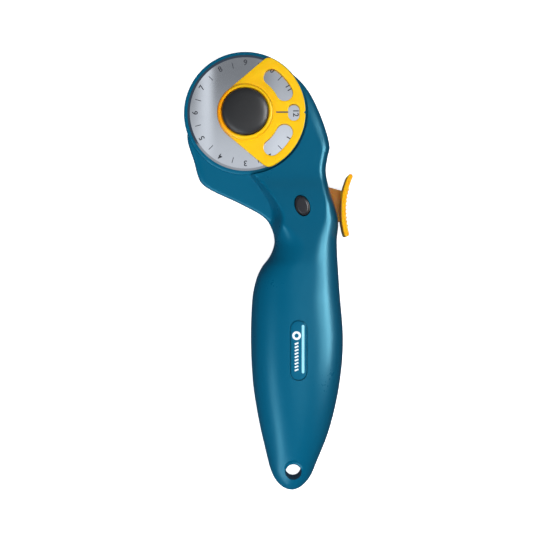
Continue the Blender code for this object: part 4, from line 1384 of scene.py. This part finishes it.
@dataclass
class Guard:
    """Fan-shaped blade cover with windows and a collar round the knob."""

    low: float = 13.0
    thickness: float = 1.7
    radius: float = 23.3
    hub_radius: float = 11.0
    corner: float = 3.0
    slope: float = 40.0
    collar_inner: float = 9.3
    collar_top: float = 17.0
    collar_lip: float = 0.45
    edge: float = 0.32
    notch_depth: float = 0.6
    index_x: float = 18.8
    key_radius: float = 2.6
    key_half_angle: float = 54.0

    def outline(self) -> Outline:
        """Hub arc, straight sides, rounded corners and notched rim."""
        tangent = 90 + self.slope
        reach, along = self.radius - self.corner, self.hub_radius - self.corner
        upper = tangent - degrees(acos(along / reach))
        centre = arc((0, 0), reach, upper, upper, 1)[0]
        notch = [(self.radius, -0.7), (self.radius - self.notch_depth, 0.0), (self.radius, 0.7)]
        return (arc((0, 0), self.hub_radius, tangent, 360 - tangent, 60)
                + arc((centre[0], -centre[1]), self.corner, -tangent, -upper, 20)
                + arc((0, 0), self.radius, -upper + 1, -2.5, 40) + notch
                + arc((0, 0), self.radius, 2.5, upper - 1, 40)
                + arc(centre, self.corner, upper, tangent, 20))

    @staticmethod
    def window(sign: int) -> Outline:
        """Kidney window over the dial.

        Args:
            sign: 1 above the index, -1 below it.

        Returns:
            The closed outline.
        """
        middle, half, near, far = 17.0, 3.2, sign * 26.5, sign * 53.0
        near_centre, far_centre = (arc((0, 0), middle, a, a, 1)[0] for a in (near, far))
        turn = 180 * sign
        return (arc((0, 0), middle + half, near, far, 20) + arc(far_centre, half, far, far + turn, 20)
                + arc((0, 0), middle - half, far, near, 14)
                + arc(near_centre, half, near + turn, near + 2 * turn, 20))

    def collar(self) -> Mesh:
        """Ring that shrouds the knob, rolled over at the top."""
        foot, lip = self.low + self.thickness - 0.6, self.collar_lip
        outer = self.hub_radius - 0.08
        crest = self.collar_inner + lip
        shoulder = [(crest + (outer - crest) * sin(radians(a)),
                     foot + 0.5 + (self.collar_top - foot - 0.5) * cos(radians(a)) ** 0.85)
                    for a in range(0, 90, 9)]
        inside = arc((crest, self.collar_top - lip), lip, 180, 90, 5)[:-1]
        return turned("collar", [(self.collar_inner, foot), *inside, *shoulder, (outer, foot + 0.5),
                                 (outer, foot)], steps=144, closed=True)

    def build(self) -> None:
        """Make the cover and its index line."""
        high = self.low + self.thickness
        index = obround((self.index_x, -1.05), (self.index_x, 1.05), 2.2)
        cover = Solid(plate("guard_plate", self.outline(), self.low, high,
                            [self.window(1), self.window(-1), index], self.edge))
        cover.join(self.collar())
        turn = self.key_half_angle
        key = [point for side in (0, 180)
               for point in arc((0, 0), self.key_radius, side - turn, side + turn, 12)]
        cover.cut(plate("key_hole", key, 12.0, 16.0))
        seat(cover.finished("guard_cover", COVER_YELLOW), Body.CARRIER, Slot.YELLOW, "blade_cover")
        line = plate("index_line", obround((12.1, 0.0), (16.4, 0.0), 0.25, 8), high - 0.02, high + 0.015)
        seat(kept("index_line", line, INDEX_INK), Body.CARRIER, Slot.YELLOW)


@dataclass
class Knob:
    """Domed knob that clamps the cover and the blade."""

    radius: float = 9.0
    low: float = 15.1
    high: float = 19.5
    shoulder: float = 3.0
    washer_radius: float = 6.4
    washer_top: float = 15.8
    bush_radius: float = 4.15
    roof: float = 1.1

    def build(self) -> None:
        """Turn the knob, with its hollow for the washer and the bush."""
        dome = [(0.0, self.high)]
        for angle in range(6, 91, 6):
            a = radians(angle)
            dome.append((self.radius * sin(a) ** 0.82,
                         self.high - self.shoulder + self.shoulder * cos(a) ** 0.62))
        ceiling = self.high - self.roof
        profile = [*dome, (self.radius, self.low + 0.3), (self.radius - 0.3, self.low),
                   (self.washer_radius, self.low), (self.washer_radius, self.washer_top),
                   (self.bush_radius, self.washer_top), (self.bush_radius, ceiling), (0.0, ceiling)]
        knob = kept("knob_dome", turned("knob_dome", profile, steps=144), KNOB_BLACK)
        seat(knob, Body.KNOB, Slot.KNOB, "knob_cap")


# -------- trigger and lock


@dataclass
class Trigger:
    """Finger lever with a ribbed paddle."""

    drive: Point2 = (25.0, -23.5)
    centre: Point2 = (70.4, -38.0)
    radius: float = 32.6
    thickness: float = 1.9
    low: float = 4.0
    width: float = 13.0
    top_y: float = -25.0
    bottom_y: float = -47.2
    plate_low: float = 8.6
    plate_thickness: float = 3.0
    rib_pitch: float = 1.6
    rib_count: int = 10
    rib_radius: float = 0.36
    drive_bore: float = 1.6

    def angle_at(self, y: float) -> float:
        """Angle round the paddle's centre at a height up the page."""
        return 180 - degrees(asin((y - self.centre[1]) / self.radius))

    def paddle(self) -> Outline:
        """Curved strip with round ends."""
        start, end = self.angle_at(self.bottom_y), self.angle_at(self.top_y)
        half = self.thickness / 2
        low_tip, high_tip = (arc(self.centre, self.radius, a, a, 1)[0] for a in (start, end))
        return (arc(self.centre, self.radius + half, end, start, 48)
                + arc(low_tip, half, start, start + 180, 14)[1:]
                + arc(self.centre, self.radius - half, start, end, 48)[1:]
                + arc(high_tip, half, end - 180, end, 14)[1:-1])

    def lever(self) -> Outline:
        """Hub, arm up to the drive pin and web out to the paddle."""
        return (arc(self.drive, 2.8, 10, 215, 30)
                + [(25.4, -28.5), (26.6, -30.6), (27.2, -32.6), (27.3, -35.5), (27.8, -39.0)]
                + arc(TRIGGER_PIVOT, 3.0, 170, 300, 24)
                + [(34.2, -43.1), (37.5, -42.0), (37.4, -30.1), (32.6, -28.8), (29.4, -28.2)])

    def ribs(self) -> Object:
        """Grip ribs across the paddle's hollow face."""
        graph = GeometryGraph("grip_ribs")
        step = self.rib_pitch / self.radius
        first = radians(self.angle_at(self.bottom_y)) - 2 * step
        angle = graph.input("First", first) - graph.node("GeometryNodeInputIndex") * graph.input("Step", step)
        reach = graph.input("Reach", (self.radius - self.thickness / 2) * MM)
        place = graph.vector(self.centre[0] * MM + angle.cosine() * reach,
                             self.centre[1] * MM + angle.sine() * reach,
                             (self.low + self.width / 2) * MM)
        bar = graph.node("GeometryNodeMeshCylinder",
                         {"Vertices": 16, "Radius": graph.input("Radius", self.rib_radius * MM),
                          "Depth": graph.input("Length", (self.width - 0.9) * MM)})
        return graph.finished(graph.copies(graph.row(graph.input("Count", self.rib_count), place), bar),
                              TRIGGER_YELLOW)

    def build(self) -> None:
        """Make the lever and its ribs."""
        lever = Solid(plate("paddle", self.paddle(), self.low, self.low + self.width, edge=0.45))
        lever.join(plate("lever", self.lever(), self.plate_low, self.plate_low + self.plate_thickness,
                         edge=0.25))
        lever.cut(rod("pivot_bore", PIVOT_BORE, 5.0, 15.0, TRIGGER_PIVOT, 40),
                  rod("drive_bore", self.drive_bore, 5.0, 15.0, self.drive, 40))
        seat(lever.finished("trigger_lever", TRIGGER_YELLOW), Body.TRIGGER, Slot.YELLOW, "trigger")
        seat(self.ribs(), Body.TRIGGER, Slot.YELLOW, "trigger")


@dataclass
class Lock:
    """Oval push button on a stepped shaft."""

    shaft: float = 2.2
    ring_z: float = 13.0
    top: float = 19.0

    def build(self) -> None:
        """Make the button with its raised face."""
        shaft, ring_z, top = self.shaft, self.ring_z, self.top
        button = Solid(turned("lock_shaft", [
            (0.0, 17.2), (shaft, 17.2), (shaft, ring_z + 0.55), (shaft - 0.5, ring_z + 0.55),
            (shaft - 0.5, ring_z - 0.55), (shaft, ring_z - 0.55), (shaft, 11.0), (2.6, 11.0), (2.6, 8.6),
            (1.4, 8.6), (1.4, 5.0), (2.1, 5.0), (2.1, 3.5), (1.7, 3.2), (0.0, 3.2)], LOCK_PLACE, 48))
        for name, halves, low, high, edge in (("lock_skirt", (4.0, 2.7), 16.5, top - 0.45, 0.3),
                                              ("lock_face", (3.3, 2.15), top - 1.2, top, 0.4)):
            button.join(plate(name, leaning_ellipse(LOCK_PLACE, *halves, LOCK_TILT), low, high, edge=edge))
        seat(button.finished("lock_cap", LOCK_BLACK), Body.LOCK, Slot.BUTTON, "lock_button")


@dataclass
class ReturnSpring:
    """Coil spring that pushes the carrier back."""

    left: float = -19.0
    right: float = -10.4
    y: float = -6.0
    z: float = 7.2
    radius: float = 1.6
    wire: float = 0.23
    turns: int = 5
    turn_steps: int = 32
    close_wound: float = 0.045
    stroke: float = 4.975

    def build(self) -> None:
        """Wind the spring, with close end turns, and give it a mesh of its own."""
        graph = GeometryGraph("return_coil")
        turns, radius = graph.input("Turns", self.turns), graph.input("Radius", self.radius * MM)
        wire = graph.input("Wire", self.wire * MM)
        start = (self.left + self.wire) * MM
        reach = graph.input("Reach", (self.right - self.left - 2 * self.wire) * MM)
        line = graph.node("GeometryNodeCurvePrimitiveLine")
        points = graph.node("GeometryNodeResampleCurve",
                            {"Curve": line, "Count": self.turns * self.turn_steps + 1})
        along = graph.node("GeometryNodeSplineParameter", output="Factor")
        angle = along * turns * (2 * pi)
        run = along - self.close_wound * (along * (4 * pi)).sine()
        place = graph.vector(start + run * reach, self.y * MM + angle.cosine() * radius,
                             self.z * MM + angle.sine() * radius)
        coil = graph.node("GeometryNodeSetPosition", {"Geometry": points, "Position": place})
        round_wire = graph.node("GeometryNodeCurvePrimitiveCircle", {"Resolution": 12, "Radius": wire})
        wound = graph.node("GeometryNodeCurveToMesh",
                           {"Curve": coil, "Profile Curve": round_wire, "Fill Caps": True})
        spring = graph.finished(wound, SPRING_STEEL)
        seat(spring, Body.CASING, Slot.SPRING_STEEL, "return_spring")
        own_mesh(spring)


def dress_kept_nodes() -> None:
    """Give the CAD nodes that stay their finishes."""
    finishes = {"blade_carrier": CARRIER_ACETAL, "axle_bolt": PIN_STEEL, "blade_bush": BUSH_BRASS,
                "spring_washer": SPRING_STEEL, "knob_insert": BUSH_BRASS, "drive_pin": PIN_STEEL,
                "trigger_pin": PIN_STEEL, "lock_ring": RING_RUBBER}
    for name, finish in finishes.items():
        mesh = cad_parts[name].data
        mesh.materials.clear()
        mesh.materials.append(finish.material())
        LOG.info("%s keeps its CAD shape", name)


# -------- studio


@dataclass(frozen=True)
class Lamp:
    """A soft area lamp; its place and its size are in metres."""

    name: str
    use: LampUse
    at: Point3
    size: Point2
    power: float
    colour: Colour = (1.0, 1.0, 1.0)

    def build(self, target: Point3) -> None:
        """Hang the lamp so that it faces a point.

        Args:
            target: The point, in metres.
        """
        data = bpy.data.lights.new(self.name, "AREA")
        data.shape = "RECTANGLE"
        data.size, data.size_y = self.size
        data.energy = self.power
        data.color = self.colour
        lamp = linked(self.name, data)
        lamp.location = self.at
        lamp.visible_diffuse, lamp.visible_glossy = self.use.value
        lamp.rotation_euler = (Vector(target) - Vector(self.at)).to_track_quat("-Z", "Y").to_euler()


LAMPS = (
    Lamp("strip_right", LampUse.SHINE, (0.48, 0.02, 0.21), (0.40, 0.14), 3.2),
    Lamp("high_right", LampUse.SHINE, (0.42, 0.0, 0.36), (0.40, 0.14), 1.4),
    Lamp("edge_right", LampUse.SHINE, (0.42, 0.14, 0.42), (0.16, 0.12), 1.0),
    Lamp("strip_left", LampUse.SHINE, (-0.42, -0.30, 0.40), (0.30, 0.20), 0.7),
    Lamp("fill_left", LampUse.BOTH, (-0.30, -0.62, 0.30), (0.5, 0.5), 3.2, (0.85, 0.95, 1.0)),
    Lamp("front_top", LampUse.SHINE, (-0.06, -0.27, 1.0), (0.7, 0.24), 0.16),
    Lamp("key_top", LampUse.SHADE, (0.18, -0.22, 0.85), (0.5, 0.5), 6.6),
    Lamp("back_top", LampUse.SHADE, (0.05, 0.55, 0.75), (0.3, 0.3), 1.3),
)


@dataclass
class Studio:
    """Pale floor, soft lights and the camera; its lengths are in metres."""

    centre: Point3 = (0.0082, -0.0597, 0.012)
    camera_height: float = 0.4125
    lens: float = 69.5
    card_low: Point2 = (-0.16, 0.02)
    card_high: Point2 = (0.12, 0.27)
    card_z: float = 1.0
    card_white: Colour = (0.99, 1.05, 1.12)
    around: Colour = (0.082, 0.108, 0.150)
    around_in_gloss: Colour = (0.048, 0.068, 0.096)
    around_in_view: Colour = (0.9, 0.9, 0.9)

    def floor(self) -> None:
        """Plain white floor that doesn't light the object."""
        mesh = bpy.data.meshes.new("floor")
        mesh.from_pydata([(-4, -4, 0), (4, -4, 0), (4, 4, 0), (-4, 4, 0)], [], [(0, 1, 2, 3)])
        graph = ShaderGraph("floor_white")
        graph.set(base_color=(0.85, 0.85, 0.85, 1.0), roughness=0.9, specular_ior_level=0.0,
                  emission_color=(1.0, 1.0, 1.0, 1.0), emission_strength=0.75)
        mesh.materials.append(graph.material)
        plane = linked("floor", mesh)
        plane.visible_diffuse = False
        plane.visible_glossy = False

    def card(self) -> None:
        """Graded white card overhead that the polished blade mirrors."""
        mesh = bpy.data.meshes.new("card")
        (left, near), (right, far), z = self.card_low, self.card_high, self.card_z
        mesh.from_pydata([(left, near, z), (right, near, z), (right, far, z), (left, far, z)],
                         [], [(0, 3, 2, 1)])
        graph = ShaderGraph("card_grade")
        x, y, _ = graph.split(graph.place)
        depth = y.between(0.080, 0.205)
        band = x.between(-0.094, -0.073) * (1.0 - x.between(-0.071, -0.059))
        right_side = x.between(-0.01, 0.03)
        level = 0.24 + 0.40 * (1.0 - depth) + band * (0.11 + 0.46 * depth) + 0.24 * right_side
        graph.set(base_color=(0.0, 0.0, 0.0, 1.0), specular_ior_level=0.0, emission_strength=1.0,
                  emission_color=graph.mix(level, (0.0, 0.0, 0.0), self.card_white))
        mesh.materials.append(graph.material)
        card = linked("card", mesh)
        card.visible_camera = False
        card.visible_shadow = False

    def world(self) -> None:
        """Dim, slightly blue surroundings, pale where the camera looks past the floor."""
        world = bpy.data.worlds.new("studio")
        world.use_nodes = True
        bpy.context.scene.world = world
        graph = Graph(world.node_tree)
        background = world.node_tree.nodes["Background"]
        path = graph.node("ShaderNodeLightPath", output="Is Camera Ray")
        glossy = Signal(graph, path.socket.node.outputs["Is Glossy Ray"])
        colour = graph.mix(glossy, self.around, self.around_in_gloss)
        colour = graph.mix(path, colour, self.around_in_view)
        world.node_tree.links.new(colour.socket, background.inputs["Color"])

    def build(self) -> None:
        """Set up the floor, the lights and the camera."""
        self.floor()
        self.card()
        self.world()
        for lamp in LAMPS:
            lamp.build(self.centre)
        data = bpy.data.cameras.new("camera")
        data.lens = self.lens
        data.sensor_width = 36.0
        data.clip_start = 0.01
        camera = linked("camera", data)
        camera.location = (self.centre[0], self.centre[1], self.camera_height)
        bpy.context.scene.camera = camera
        bpy.context.scene.view_settings.view_transform = "Standard"


def main() -> None:
    """Build every sub-assembly in order, then the studio."""
    logging.basicConfig(level=logging.INFO, format="%(name)s: %(message)s")
    for assembly in (Studio(), Casing(), Screws(), Badge(), ReturnSpring(), Blade(), Guard(), Knob(),
                     Trigger(), Lock()):
        LOG.info("building %s", type(assembly).__name__)
        assembly.build()
    dress_kept_nodes()


if __name__ == "__main__":
    main()
